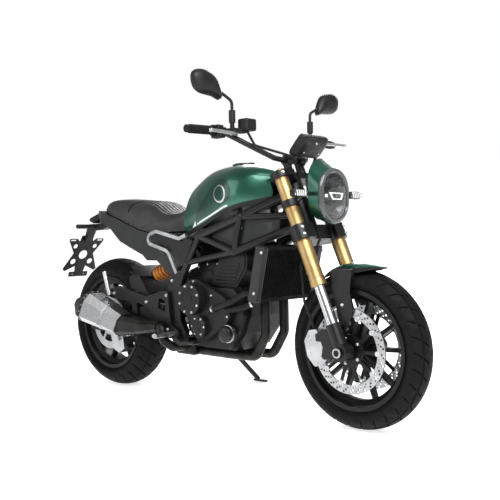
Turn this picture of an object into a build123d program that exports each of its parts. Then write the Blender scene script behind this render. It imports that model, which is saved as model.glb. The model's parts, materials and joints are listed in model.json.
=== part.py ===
from build123d import *
from math import cos, radians, sin, sqrt, tan
import os

os.makedirs("parts", exist_ok=True)

# Driving dimensions, in mm and degrees. The machine is drawn upright, facing +X with its left side on +Y
# and the ground point under the rear axle at the origin, and is leaned on its side stand at the end.
WHEELBASE = 1460.0
FRONT_TYRE_RADIUS = 300.0
FRONT_TYRE_WIDTH = 120.0
REAR_TYRE_RADIUS = 315.0
REAR_TYRE_WIDTH = 178.0
RIM_RADIUS = 216.0
FRONT_SEAT_HALF = 45.0
REAR_SEAT_HALF = 69.0
RAKE = 23.5
LEAN = 9.0
FORK_HALF = 108.0
YOKE_OFFSET = 33.0
FORK_TUBE_RADIUS = 27.0
SLIDER_RADIUS = 21.5
FRONT_DISC_RADIUS = 160.0
REAR_DISC_RADIUS = 130.0
DISC_Y = 67.5
AXLE_RADIUS = 12.0
BAR_RADIUS = 11.0
BAR_HALF = 430.0
CHAIN_Y = 106.0
SPROCKET_RADIUS = 112.0
TUBE_Y = 135.0
FRONT_SPROCKET = (668.0, 402.0)
FIT = 0.3
RUN = 0.05

FRONT_AXLE = Vector(WHEELBASE, 0, FRONT_TYRE_RADIUS)
REAR_AXLE = Vector(0, 0, REAR_TYRE_RADIUS)
UP = Vector(-sin(radians(RAKE)), 0, cos(radians(RAKE)))
FORE = Vector(cos(radians(RAKE)), 0, sin(radians(RAKE)))
FORK = Plane(origin=FRONT_AXLE, x_dir=FORE, z_dir=UP).location


# Small helpers that the whole machine is made with

def fork(s, t=0.0, y=0.0):
    """A point s up the fork from the front axle, t in front of the fork's axis and y to the left."""
    return FRONT_AXLE + UP * s + FORE * t + Vector(0, y, 0)


def rod(radius, z0, z1, x=0.0, y=0.0):
    """An upright round bar."""
    return Pos(x, y, (z0 + z1) / 2) * Cylinder(radius, z1 - z0)


def cross_rod(radius, y0, y1, x=0.0, z=0.0):
    """A round bar that lies across the machine."""
    return Pos(x, (y0 + y1) / 2, z) * Rot(90, 0, 0) * Cylinder(radius, y1 - y0)


def bar(a, b, radius):
    """A straight round bar between two points."""
    a, b = Vector(a), Vector(b)
    return Solid.make_cylinder(radius, (b - a).length, Plane(origin=a, z_dir=b - a))


def bent(points, bend, radius):
    """A round bar bent along a line of points."""
    path = FilletPolyline(*points, radius=bend)
    return sweep(Plane(origin=path @ 0, z_dir=path % 0) * Circle(radius), path=path)


def outline(points, corner=0.0):
    """A flat face inside a closed line of points, with rounded corners."""
    if corner:
        return make_face(FilletPolyline(*points, radius=corner, close=True))
    return make_face(Polyline(*points, close=True))


def plate(points, y0, y1, corner=0.0):
    """A side-view outline of (x, z) points, as thick as from y0 to y1."""
    side = Plane((0, y1, 0), x_dir=(1, 0, 0), z_dir=(0, -1, 0))
    return extrude(side * outline(points, corner), amount=y1 - y0)


def slab(points, z0, z1, corner=0.0):
    """A plan-view outline of (x, y) points, as thick as from z0 to z1."""
    return extrude(Pos(0, 0, z0) * outline(points, corner), amount=z1 - z0)


def discs_hull(circles, y0, y1):
    """A cover wrapped around circles of (x, z, radius), as thick as from y0 to y1."""
    side = Plane((0, y1, 0), x_dir=(1, 0, 0), z_dir=(0, -1, 0))
    edges = [(Pos(x, z) * Circle(r)).edges()[0] for x, z, r in circles]
    return extrude(side * make_hull(edges), amount=y1 - y0)


def other_side(shape):
    return mirror(shape, about=Plane.XZ)


def group(*shapes):
    """Several pieces as one node."""
    return Compound([solid for shape in shapes for solid in shape.solids()])


def pair(shape):
    return group(shape, other_side(shape))


def one(first, *more):
    """Pieces welded into one."""
    return first.fuse(*more) if more else first


def step(points, x):
    """The height of a line of (x, z) points at x."""
    for (x0, z0), (x1, z1) in zip(points, points[1:]):
        if x0 <= x <= x1:
            return z0 + (z1 - z0) * (x - x0) / (x1 - x0)
    return points[0][1] if x < points[0][0] else points[-1][1]


# Wheels, turned about the Y axis at the origin and then set on their axles

def tyre(radius, width, crown, seat):
    half = width / 2
    edge = 0.92 * half
    drop = crown - sqrt(crown ** 2 - edge ** 2)
    foot = RIM_RADIUS + FIT
    shoulder = radius - drop
    bulge = shoulder - 0.4 * (shoulder - foot)
    lines = [
        ThreePointArc((shoulder, -edge), (radius, 0), (shoulder, edge)),
        ThreePointArc((shoulder, edge), (bulge, half), (foot + 13, seat)),
        Line((foot + 13, seat), (foot, seat)),
        Line((foot, seat), (foot, seat - 10)),
        Polyline((foot, seat - 10), (bulge, half - 10), (shoulder - 11, edge - 9)),
        ThreePointArc((shoulder - 11, edge - 9), (radius - 12, 0), (shoulder - 11, 9 - edge)),
        Polyline((shoulder - 11, 9 - edge), (bulge, 10 - half), (foot, 10 - seat)),
        Line((foot, 10 - seat), (foot, -seat)),
        Line((foot, -seat), (foot + 13, -seat)),
        ThreePointArc((foot + 13, -seat), (bulge, -half), (shoulder, -edge)),
    ]
    return revolve(make_face(lines), axis=Axis.Y)


def around(radius, degrees, y=0.0):
    a = radians(degrees)
    return Vector(radius * cos(a), y, radius * sin(a))


def spoke(hub, rim, angle_hub, angle_rim, hub_size, rim_size):
    a, b = around(hub, angle_hub), around(rim, angle_rim)
    ends = [
        Plane(origin=p, x_dir=(0, 1, 0), z_dir=b - a) * RectangleRounded(*size, 5)
        for p, size in ((a, hub_size), (b, rim_size))
    ]
    return loft(ends)


def cast_wheel(seat, hub_radius, hub_right, hub_left):
    edge = seat + FIT
    half = [
        (RIM_RADIUS - 20, seat - 34), (RIM_RADIUS, seat - 20), (RIM_RADIUS, edge),
        (RIM_RADIUS + 11, edge), (RIM_RADIUS + 11, edge + 5), (RIM_RADIUS - 5, edge + 5),
        (RIM_RADIUS - 9, seat - 18), (RIM_RADIUS - 28, seat - 33),
    ]
    ring = half + [(r, -y) for r, y in reversed(half)]
    rim = revolve(make_face(Polyline(*ring, close=True)), axis=Axis.Y)
    spokes = []
    for k in range(5):
        for side in (-1, 1):
            mid = 90 + 72 * k
            ends = (mid + 9 * side, mid + 15 * side)
            spokes.append(spoke(hub_radius - 6, RIM_RADIUS - 23, *ends, (36, 20), (28, 15)))
    hub = cross_rod(hub_radius, hub_right, hub_left)
    body = rim.fuse(hub, *spokes)
    return body - cross_rod(AXLE_RADIUS + RUN, -200, 200)


def disc_ring(radius, inner, y, thick, notches):
    ring = cross_rod(radius, y - thick / 2, y + thick / 2) - cross_rod(inner, y - 9, y + 9)
    for k in range(notches):
        c = around(inner, 360 / notches * k)
        ring -= cross_rod(8 + FIT, y - 9, y + 9, c.X, c.Z)
    return ring


def disc_carrier(inner, hub, bore, y0, y1, notches):
    ring = cross_rod(hub, y0, y1)
    arms = []
    for k in range(notches):
        a = 360 / notches * k
        c = around(inner, a)
        arms.append(cross_rod(8, y0, y1, c.X, c.Z))
        arm = Pos(inner / 2 + 12, 0, 0) * Box(inner - 24, y1 - y0, 13)
        arms.append(Pos(0, (y0 + y1) / 2, 0) * Rot(0, -a, 0) * arm)
    return ring.fuse(*arms) - cross_rod(bore, y0 - 1, y1 + 1)


to_front = Pos(FRONT_AXLE)
to_rear = Pos(REAR_AXLE)
disc_face = DISC_Y - 2.5

front_tyre = to_front * tyre(FRONT_TYRE_RADIUS, FRONT_TYRE_WIDTH, 68, FRONT_SEAT_HALF)
front_wheel = to_front * cast_wheel(FRONT_SEAT_HALF, 40, -disc_face, disc_face)
front_inner = FRONT_DISC_RADIUS - 34
front_disc_rings = pair(to_front * disc_ring(FRONT_DISC_RADIUS, front_inner, DISC_Y, 5, 10))
carrier = to_front * disc_carrier(front_inner, 62, 30, disc_face - 1, disc_face + 5, 10)
front_wheel = one(front_wheel, carrier, other_side(carrier))

rear_disc_y = -76.0
rear_hub_right = rear_disc_y + 2.5
rear_hub_left = CHAIN_Y - 3.5
rear_tyre = to_rear * tyre(REAR_TYRE_RADIUS, REAR_TYRE_WIDTH, 102, REAR_SEAT_HALF)
rear_wheel = to_rear * cast_wheel(REAR_SEAT_HALF, 52, rear_hub_right, rear_hub_left)
rear_inner = REAR_DISC_RADIUS - 34
rear_ring = disc_ring(REAR_DISC_RADIUS, rear_inner, rear_disc_y, 5, 6)
rear_carrier = disc_carrier(rear_inner, 62, 34, rear_disc_y - 2.5, rear_disc_y + 2.5, 6)
rear_disc = group(to_rear * rear_ring, to_rear * rear_carrier)
sprocket = cross_rod(SPROCKET_RADIUS, CHAIN_Y - 3.5, CHAIN_Y + 3.5)
for k in range(6):
    c = around(78, 60 * k)
    sprocket -= cross_rod(17, CHAIN_Y - 9, CHAIN_Y + 9, c.X, c.Z)
rear_sprocket = to_rear * (sprocket - cross_rod(34, CHAIN_Y - 9, CHAIN_Y + 9))

# Front fork, drawn along its own axis: x in front of it, z up it from the axle
SLIDER_FOOT, SLIDER_TOP = 60.0, 420.0
LUG_TOP = 108.0
OUTER_FOOT, OUTER_TOP = 266.0, 740.0
LOW_YOKE, LOW_YOKE_TOP = 446.0, 506.0
TOP_YOKE, TOP_YOKE_TOP = 708.0, 734.0
LUG_RADIUS = 28.0

slider = rod(SLIDER_RADIUS, SLIDER_FOOT + FIT, SLIDER_TOP, 0, FORK_HALF)
outer = one(
    rod(FORK_TUBE_RADIUS, OUTER_FOOT, OUTER_TOP, 0, FORK_HALF),
    rod(FORK_TUBE_RADIUS + 2, OUTER_FOOT, LOW_YOKE - 10, 0, FORK_HALF),
    rod(FORK_TUBE_RADIUS + 4, OUTER_FOOT - 6, OUTER_FOOT + 16, 0, FORK_HALF),
)
outer -= rod(SLIDER_RADIUS + FIT, OUTER_FOOT - 10, SLIDER_TOP + FIT, 0, FORK_HALF)
lug = rod(LUG_RADIUS, -20, LUG_TOP, 0, FORK_HALF)
lug = one(lug, cross_rod(34, FORK_HALF - 26, FORK_HALF + 26))
ear = [(-10, 96), (-50, 106), (-86, 100), (-92, 76), (-60, 60), (-92, 14), (-84, 0), (-10, -16)]
lug = one(lug, plate(ear, FORK_HALF - 12, FORK_HALF + 12, 5))
lug -= rod(SLIDER_RADIUS + FIT, SLIDER_FOOT, LUG_TOP + 5, 0, FORK_HALF)
lug -= cross_rod(AXLE_RADIUS + 0.1, 0, 200)

caliper = plate(
    [(-84, 118), (-120, 128), (-158, 98), (-168, 40), (-150, -8), (-112, -14), (-84, -2)],
    44, 104, 10,
)
caliper = FORK * caliper - to_front * cross_rod(FRONT_DISC_RADIUS + 6, DISC_Y - 8, DISC_Y + 8)

fork_outer_tubes = pair(FORK * outer)
fork_inner_tubes = pair(FORK * slider)
fork_bottoms = pair(FORK * lug)
front_calipers = pair(caliper - FORK * lug)
axle_end = FORK_HALF + LUG_RADIUS + 9
front_axle = to_front * one(
    cross_rod(AXLE_RADIUS, -axle_end, axle_end),
    cross_rod(17, -axle_end, -FORK_HALF - LUG_RADIUS - FIT),
)

clamp = [(Pos(0, y) * Circle(FORK_TUBE_RADIUS + 12)).edges()[0] for y in (-FORK_HALF, FORK_HALF)]
stem_edge = (Pos(-YOKE_OFFSET, 0) * Circle(30)).edges()[0]
yoke_plan = make_hull(clamp + [stem_edge])
front_bay = outline([(16, -62), (90, -66), (90, 66), (16, 62)], 8)
yoke_plan -= front_bay
fork_holes = [rod(FORK_TUBE_RADIUS + 0.1, 300, 800, 0, y) for y in (-FORK_HALF, FORK_HALF)]
low = extrude(Pos(0, 0, LOW_YOKE) * yoke_plan, amount=LOW_YOKE_TOP - LOW_YOKE)
low = one(low, rod(14, LOW_YOKE, TOP_YOKE - FIT, -YOKE_OFFSET))
low = low - fork_holes[0] - fork_holes[1]
top = extrude(Pos(0, 0, TOP_YOKE) * yoke_plan, amount=TOP_YOKE_TOP - TOP_YOKE)
top = one(top, rod(19, TOP_YOKE, TOP_YOKE_TOP + 10, -YOKE_OFFSET))
top = top - fork_holes[0] - fork_holes[1]

# Handlebar on two risers, rising and coming back to the grips
bar_mid = Vector(4, 0, 792)
riser = rod(16, TOP_YOKE_TOP - 5, bar_mid.Z, bar_mid.X - 8, 38)
riser = one(riser, cross_rod(21, 22, 54, bar_mid.X, bar_mid.Z))
riser -= cross_rod(BAR_RADIUS + 2.1, -90, 90, bar_mid.X, bar_mid.Z)
top = one(top, riser, other_side(riser))
lower_yoke = FORK * low
upper_yoke = FORK * top

mid = fork(bar_mid.Z, bar_mid.X)
GRIP_X, GRIP_Z = mid.X - 142, mid.Z + 112
BAR_BENDS = [55, 30, 30, 30, 30, 55]
line = [
    (GRIP_X, -BAR_HALF, GRIP_Z - 5), (GRIP_X, -262, GRIP_Z), (mid.X - 18, -96, mid.Z + 8),
    (mid.X, -60, mid.Z), (mid.X, 60, mid.Z), (mid.X - 18, 96, mid.Z + 8),
    (GRIP_X, 262, GRIP_Z), (GRIP_X, BAR_HALF, GRIP_Z - 5),
]
handlebar = one(
    bent(line, BAR_BENDS, BAR_RADIUS),
    cross_rod(BAR_RADIUS + 2, -62, 62, mid.X, mid.Z),
)


def along_grip(y0, y1, radius):
    drop = 5 / (BAR_HALF - 262)
    a = Vector(GRIP_X, y0, GRIP_Z - (y0 - 262) * drop)
    b = Vector(GRIP_X, y1, GRIP_Z - (y1 - 262) * drop)
    return bar(a, b, radius)


def bar_spot(y):
    return GRIP_Z - (y - 262) * 5 / (BAR_HALF - 262)


bore = along_grip(255, BAR_HALF + 20, BAR_RADIUS + FIT)
grip = one(along_grip(306, BAR_HALF + 2, 16.5), along_grip(306, 311, 22))
grip -= along_grip(290, BAR_HALF, BAR_RADIUS + FIT)
grip = one(grip, along_grip(BAR_HALF + 2, BAR_HALF + 16, 15))
grips = pair(grip)

cluster = Pos(GRIP_X + 3, 287, bar_spot(287) - 4) * fillet(Box(44, 34, 52).edges(), 7)
cluster = one(cluster, Pos(GRIP_X + 20, 287, bar_spot(287) - 18) * fillet(Box(30, 30, 24).edges(), 5))
bar_bend = other_side(bent(line, BAR_BENDS, BAR_RADIUS + FIT))
control_clusters = pair(cluster - bore - bar_bend)

perch = along_grip(247.5, 266, 18)
perch = one(perch, slab([(GRIP_X + 8, 236), (GRIP_X + 66, 230), (GRIP_X + 70, 258), (GRIP_X + 10, 266)],
                        bar_spot(250) - 12, bar_spot(250) + 6, 4))
boss = rod(9, bar_spot(250), GRIP_Z + 30, GRIP_X + 36, 238)
perch = one(perch, boss)
perch -= bar_bend
LEVER_Z = bar_spot(250) - 3
blade = slab(
    [(GRIP_X + 50, 236), (GRIP_X + 66, 236), (GRIP_X + 84, 275), (GRIP_X + 94, 340), (GRIP_X + 98, 402),
     (GRIP_X + 86, 404), (GRIP_X + 80, 345), (GRIP_X + 68, 285), (GRIP_X + 52, 262)],
    LEVER_Z - 20, LEVER_Z - 9 - FIT, 4)
blade = one(blade, rod(8, LEVER_Z - 21, LEVER_Z - 9 - FIT, GRIP_X + 92, 404))
levers = pair(blade)
tank_box = Pos(GRIP_X + 70, -190, GRIP_Z + 22) * fillet(Box(52, 58, 48).edges(), 8)
cylinder_arm = slab([(GRIP_X + 30, -250), (GRIP_X + 68, -250), (GRIP_X + 78, -200), (GRIP_X + 50, -200)],
                    bar_spot(250) - 12, bar_spot(250) + 6, 3)
brake_perch = one(other_side(perch), cylinder_arm, tank_box) - other_side(bar_bend)
lever_perches = group(perch, brake_perch)

# Mirrors on stems that rise from the perches
stem_foot = Vector(GRIP_X + 36, 238, GRIP_Z + 30)
stem = one(
    rod(13, stem_foot.Z + FIT, stem_foot.Z + 48, stem_foot.X, 238),
    bent([(stem_foot.X, 238, stem_foot.Z + 20), (stem_foot.X, 238, stem_foot.Z + 84),
          (stem_foot.X - 4, 330, stem_foot.Z + 128)], 24, 6),
)
MIRROR_X = stem_foot.X - 4
head_face = [(292, 1258), (302, 1300), (330, 1338), (384, 1356), (424, 1346), (438, 1322),
             (428, 1286), (398, 1268), (340, 1262)]
head_drop = GRIP_Z - 1138
rim_line = [(y, z + head_drop) for y, z in head_face]
back_line = [(365 + 0.72 * (y - 365), 1308 + head_drop + 0.72 * (z - 1308)) for y, z in head_face]
rim_plane = Plane((MIRROR_X - 10, 0, 0), x_dir=(0, 1, 0), z_dir=(1, 0, 0))
back_plane = Plane((MIRROR_X + 16, 0, 0), x_dir=(0, 1, 0), z_dir=(1, 0, 0))
mirror_head = loft([
    rim_plane * make_face(Spline(*rim_line, periodic=True)),
    back_plane * make_face(Spline(*back_line, periodic=True)),
])
mirrors = pair(one(stem, mirror_head))

# Headlight: a painted cowl, a clear lens in front of it and the arms that hold it to the fork
LAMP = fork(574, 130)
lamp_low, lamp_high = LAMP.Z - 108, LAMP.Z + 108


def oval(x, z0, z1, half):
    plane = Plane((x, 0, (z0 + z1) / 2), x_dir=(0, 1, 0), z_dir=(1, 0, 0))
    return plane * RectangleRounded(2 * half, z1 - z0, half - 0.5)


LAMP_HALF = 90.0
cowl = loft([
    oval(LAMP.X - 60, lamp_low + 14, lamp_high + 40, LAMP_HALF - 5),
    oval(LAMP.X - 8, lamp_low, lamp_high, LAMP_HALF),
])
cowl -= loft([
    oval(LAMP.X - 48, lamp_low + 16, lamp_high + 22, LAMP_HALF - 11),
    oval(LAMP.X - 7, lamp_low + 4, lamp_high - 4, LAMP_HALF - 4),
])
lens = loft([
    oval(LAMP.X - 7.7, lamp_low + 1, lamp_high - 1, LAMP_HALF - 1),
    oval(LAMP.X + 8, lamp_low + 14, lamp_high - 14, LAMP_HALF - 13),
])
lamp_arm = plate([
    (LAMP.X - 84, LAMP.Z - 30), (LAMP.X - 60.2, LAMP.Z - 30),
    (LAMP.X - 60.2, LAMP.Z + 70), (LAMP.X - 100, LAMP.Z + 70),
], 46, 54, 6)
lamp_clip = FORK * (rod(FORK_TUBE_RADIUS + 7, 585, 612, 0, FORK_HALF) - fork_holes[1])
arm_end = fork(598, FORK_TUBE_RADIUS + 3, FORK_HALF - 6)
lamp_arm = one(lamp_arm, bar((LAMP.X - 80, 50, LAMP.Z + 20), arm_end, 7), lamp_clip)
lamp_arm = lamp_arm - FORK * fork_holes[1] - cowl
headlight_cowl = cowl
headlight_lens = lens
headlight_bracket = pair(lamp_arm)

signal_z, signal_x = LAMP.Z + 8, LAMP.X - 36
signal = bar((signal_x, 76, signal_z), (signal_x, 140, signal_z), 8)
signal_body = Pos(signal_x, 172, signal_z) * fillet(Box(30, 76, 30).edges(), 11)
turn_signals = pair(one(signal, signal_body) - cowl)

# Instrument on a bracket in front of the bar
face_low = mid + Vector(46, 0, 26)
instrument = Pos(face_low + Vector(34, 0, 26)) * Rot(0, -47, 0) * fillet(Box(96, 158, 24).edges(), 7)
instrument_stem = bar(fork(TOP_YOKE_TOP, 6, 72), face_low + Vector(32, 60, 12), 6)
instrument_stem = one(instrument_stem, bar(fork(TOP_YOKE_TOP, 6, -72), face_low + Vector(32, -60, 12), 6))
instrument = one(instrument, instrument_stem) - upper_yoke

# Front fender: an arched shell with legs to the fork bottoms
def arch(inner, outer, half, start, end):
    """A curved strip around the Y axis from one angle to another, counted up from +X."""
    ring = cross_rod(outer, -half, half) - cross_rod(inner, -half - 1, half + 1)
    far = outer * 1.6
    wedge = [(0, 0)]
    for k in range(5):
        p = around(far, start + (end - start) * k / 4)
        wedge.append((p.X, p.Z))
    return ring & plate(wedge, -half - 1, half + 1)


# Sections along the fender: x, half width, height of the crown and of the edge
FENDER = [
    (1326, 52, 584, 558), (1360, 60, 605, 572), (1400, 66, 618, 580), (1460, 66, 627, 586),
    (1520, 57, 624, 594), (1560, 38, 615, 601), (1582, 17, 608, 603),
]
FENDER_WALL = 4.0


def fender_section(x, half, crown, edge):
    plane = Plane((x, 0, 0), x_dir=(0, 1, 0), z_dir=(1, 0, 0))
    inner = half - FENDER_WALL
    return plane * make_face([
        ThreePointArc((-half, edge), (0, crown), (half, edge)),
        Line((half, edge), (inner, edge)),
        ThreePointArc((inner, edge), (0, crown - FENDER_WALL), (-inner, edge)),
        Line((-inner, edge), (-half, edge)),
    ])


fender = loft([fender_section(*row) for row in FENDER])
shoulder = plate([(1388, 580), (1394, 602), (1480, 602), (1484, 584), (1478, 566), (1390, 566)], 62, 79.5, 5)
leg_line = [
    (1390, 590), (1482, 590), (1474, 520), (1487, 452), (1462, 388), (1428, 388), (1415, 445), (1393, 520),
]
under_shell = loft([
    fender_section(x, half, crown - 2, edge - 40) for x, half, crown, edge in FENDER[1:6]
])
shoulder = (shoulder - under_shell).solids().sort_by(SortBy.VOLUME)[-1]
leg = one(plate(leg_line, 75.5, 79.5, 7), shoulder)
leg_pad = to_front * cross_rod(9, 76, FORK_HALF, -20, 100)
front_fender = one(fender, leg, other_side(leg), leg_pad, other_side(leg_pad))
front_fender -= pair(FORK * rod(LUG_RADIUS + 0.2, -60, 400, 0, FORK_HALF))

# Brake hoses, clipped along the fork and held at both ends
hose_top = Vector(GRIP_X + 70, -190, GRIP_Z - 2.2)
hose_end = fork(128, -92, -104.5)
brake_hoses = bent([
    hose_top, hose_top + Vector(26, 14, -56), fork(772, 66, -74), fork(696, 23, -30), fork(446, 23, -30),
    fork(392, -14, -58), fork(372, -60, -96), fork(230, -84, -118), hose_end,
], 20, 5)
hose_neighbours = [
    fork_bottoms, front_calipers, lever_perches, lower_yoke, upper_yoke, headlight_bracket, instrument,
]
for neighbour in hose_neighbours:
    brake_hoses -= neighbour

# Trellis frame: head tube, side tubes, pivot plates and seat rails
def steer(s, y=0.0):
    return fork(s, -YOKE_OFFSET, y)


HEAD_LOW, HEAD_TOP = LOW_YOKE_TOP + 6, TOP_YOKE - 6
B, C = Vector(729, TUBE_Y, 734), Vector(937, TUBE_Y - 3, 666)
D, E = Vector(652, TUBE_Y - 3, 620), Vector(973, TUBE_Y, 807)
PLATE_IN, PLATE_OUT = 118.0, 146.0
PIVOT = Vector(555, 0, 400)
head_tube = bar(steer(HEAD_LOW), steer(HEAD_TOP), 32)
side = [
    bar(steer(HEAD_TOP - 24, 12), E, 17), bar(E, B, 17), bar(steer(HEAD_LOW + 26, 12), C, 17),
    bar(E, steer(HEAD_LOW + 60, 14), 13), bar(E, C, 14), bar(B, C, 14), bar(C, D, 14), bar(B, D, 14),
    bar(D, (600, 132, 528), 17),
]
welds = [Pos(joint) * Sphere(19) for joint in (B, E, C, D)]
pivot_plate = plate(
    [(585, 590), (640, 575), (618, 520), (606, 440), (612, 370), (640, 318), (628, 262), (575, 250),
     (540, 300), (522, 380), (520, 470), (545, 545)], PLATE_IN, PLATE_OUT, 12)
pivot_shaft = cross_rod(14, -PLATE_OUT - 5, PLATE_OUT + 5, PIVOT.X, PIVOT.Z)
rail_points = [(712, 108, 728), (430, 96, 706), (30, 72, 790)]
rail = bent(rail_points, 120, 12)
rail_web = bar((600, 126, 560), (420, 98, 704), 11)
rail_end = bar((30, 0, 790), (30, 72, 790), 12)
cross_tube = bar((712, 0, 728), (712, TUBE_Y, 728), 13)
left_frame = one(side[0], *side[1:], *welds, pivot_plate, rail, rail_web, rail_end, cross_tube)
SEAT_BASE = [
    (-120, 872), (-40, 866), (0, 850), (100, 826), (200, 796), (300, 766), (390, 750), (440, 748),
    (500, 750), (640, 754),
]
DECK = 5.0


def deck_post(x, y, rail_z):
    top = min(step(SEAT_BASE, x - 9), step(SEAT_BASE, x + 9)) - DECK - FIT - 0.2
    return Pos(x, y, (rail_z + top) / 2) * Box(18, 16, top - rail_z)


posts = [deck_post(150, 79, 764), deck_post(460, 97, 708)]
tank_posts = [Pos(940, 112, 830) * Box(26, 26, 40), Pos(740, 116, 752) * Box(26, 26, 24)]
STAND_PIVOT = Vector(606, 136, 229)
STAND_AXIS = Vector(0, 0.894, 0.447).normalized()
stand_lug = plate([(575, 300), (640, 300), (636, 224), (600, 205), (572, 226)], 112, 122, 8)
stand_bolt = Solid.make_cylinder(6, 30, Plane(origin=STAND_PIVOT - STAND_AXIS * 18, z_dir=STAND_AXIS))
shock_top = Vector(590, -58, 642)
shock_lug = one(
    bar(D + Vector(0, -2 * D.Y, 0), shock_top + Vector(14, 0, -4), 12),
    cross_rod(16, -78, -38, shock_top.X, shock_top.Z),
)
posts = posts + tank_posts
main_frame = head_tube.fuse(left_frame, other_side(left_frame), *posts, *[other_side(p) for p in posts])
main_frame = main_frame.fuse(stand_lug, stand_bolt, shock_lug, pivot_shaft)
main_frame -= bar(steer(HEAD_LOW - 20), steer(HEAD_TOP + 20), 14.05)

# Tank: lofted from cross-sections of x, crown height, base height, half width, its height and base half width
TANK = [
    (570, 872, 752, 92, 812, 80), (640, 962, 760, 112, 836, 100), (700, 994, 776, 128, 856, 116),
    (790, 1022, 806, 145, 890, 132), (890, 1030, 844, 152, 922, 140), (965, 1027, 864, 142, 936, 133),
    (1022, 1014, 876, 108, 945, 104), (1062, 1000, 885, 74, 945, 72), (1090, 984, 892, 56, 940, 54),
]


def tank_section(x, crown, base, half, mid_z, foot):
    rise = crown - mid_z
    points = [(foot, base), (half, mid_z), (0.84 * half, mid_z + 0.62 * rise), (0.48 * half, mid_z + 0.93 * rise)]
    ring = points + [(0, crown)] + [(-y, z) for y, z in reversed(points)]
    plane = Plane((x, 0, 0), x_dir=(0, 1, 0), z_dir=(1, 0, 0))
    return plane * make_face([Spline(*ring), Line(ring[-1], ring[0])])


tank = loft([tank_section(*row) for row in TANK])
nose_cut = Plane((594, 0, 766), x_dir=(0, 1, 0), z_dir=(125, 0, -33))
tank = split(tank, bisect_by=nose_cut, keep=Keep.TOP)
tank_floor = tank.faces().sort_by(Axis.Z)[0]
CAP_X, CAP_Z = 868.0, 1020.0
tunnel = plate([(560, 700), (1200, 700), (1200, 960), (1000, 940), (560, 830)], -58, 58)
tank = tank - tunnel - rod(50, CAP_Z, 1100, CAP_X) - rod(31, CAP_Z - 36, 1100, CAP_X)
# Room in the tank's nose for the top yoke, drawn a little larger, when the bar is turned
LOCK_ROOM = 7.0
room = [(Pos(0, y) * Circle(FORK_TUBE_RADIUS + 12 + LOCK_ROOM)).edges()[0] for y in (-FORK_HALF, FORK_HALF)]
room_plan = make_hull(room + [(Pos(-YOKE_OFFSET, 0) * Circle(30 + LOCK_ROOM)).edges()[0]])
yoke_room = extrude(Pos(YOKE_OFFSET, 0, TOP_YOKE - 22) * room_plan, amount=TOP_YOKE_TOP - TOP_YOKE + 44)
for turn in (36, 30, 24, 18):
    scallop = FORK * Pos(-YOKE_OFFSET, 0, 0) * Rot(0, 0, turn) * yoke_room
    tank = tank - scallop - other_side(scallop)
fuel_tank = tank
tank_base = extrude(tank_floor, amount=18, dir=(0, 0, -1)) - tunnel - main_frame
cap = one(rod(46, CAP_Z + FIT, CAP_Z + 14, CAP_X), rod(36, CAP_Z + 13, CAP_Z + 18, CAP_X))
CAP_HINGE = Vector(CAP_X + 50, 0, CAP_Z + 16)
knuckle = one(cross_rod(4, -12, 12, CAP_HINGE.X, CAP_HINGE.Z), Pos(CAP_X + 43, 0, CAP_Z + 15) * Box(16, 24, 5))
fuel_cap = one(cap, knuckle) - cross_rod(1.5 + RUN, -20, 20, CAP_HINGE.X, CAP_HINGE.Z)

# Seat and the tail cowl that it sits on
SEAT = [
    (-70, 892, 40), (-30, 908, 66), (20, 917, 86), (100, 918, 104), (200, 912, 118), (300, 902, 126),
    (380, 888, 130), (435, 856, 132), (490, 838, 128), (545, 846, 110), (590, 880, 92), (640, 905, 86),
]


def seat_section(x, crown, half):
    base = step(SEAT_BASE, x)
    rise = crown - base
    ring = [(half, base), (half + 1, base + 0.45 * rise), (0.86 * half, base + 0.82 * rise)]
    ring += [(0.45 * half, crown - 3), (0, crown)]
    ring = ring + [(-y, z) for y, z in reversed(ring[:-1])]
    plane = Plane((x, 0, 0), x_dir=(0, 1, 0), z_dir=(1, 0, 0))
    return plane * make_face([Spline(*ring), Line(ring[-1], ring[0])])


seat = loft([seat_section(*row) for row in SEAT], ruled=False)
seat = split(seat, bisect_by=nose_cut.offset(-1.0), keep=Keep.BOTTOM)

top_line = [(x, z - FIT - 0.2) for x, z in SEAT_BASE if x < 600] + [(584, 750)]
under = [
    (588, 650), (578, 574), (520, 562), (436, 626), (360, 626), (326, 652), (250, 676), (134, 715),
    (49, 772), (-98, 826), (-132, 852),
]
plan = [(-134, 36), (-60, 76), (100, 102), (300, 122), (450, 128), (610, 116)]


def plan_slab(inset, z0, z1):
    rows = [(x + (inset if x < 0 else 0), y - inset) for x, y in plan]
    if inset:
        rows[-1] = (620, rows[-1][1])
    return slab(rows + [(x, -y) for x, y in reversed(rows)], z0, z1)


cowl_block = plate(top_line + under, -140, 140) & plan_slab(0, 500, 900)
inner_line = [(x, z - DECK) for x, z in top_line[1:]]
inner_line = [(inner_line[0][0] - 70, inner_line[0][1])] + inner_line + [(640, 750), (640, 400), (-126, 400)]
hollow = plate(inner_line, -140, 140) & plan_slab(4, 400, 900)
tail_cowl = cowl_block - hollow - main_frame
seat -= tail_cowl
tail_light = plate([
    (-124, 866), (-150, 858), (-222, 836), (-228, 824), (-198, 812), (-140, 830), (-130, 850),
], -28, 28, 3)
tail_light -= tail_cowl

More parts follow.
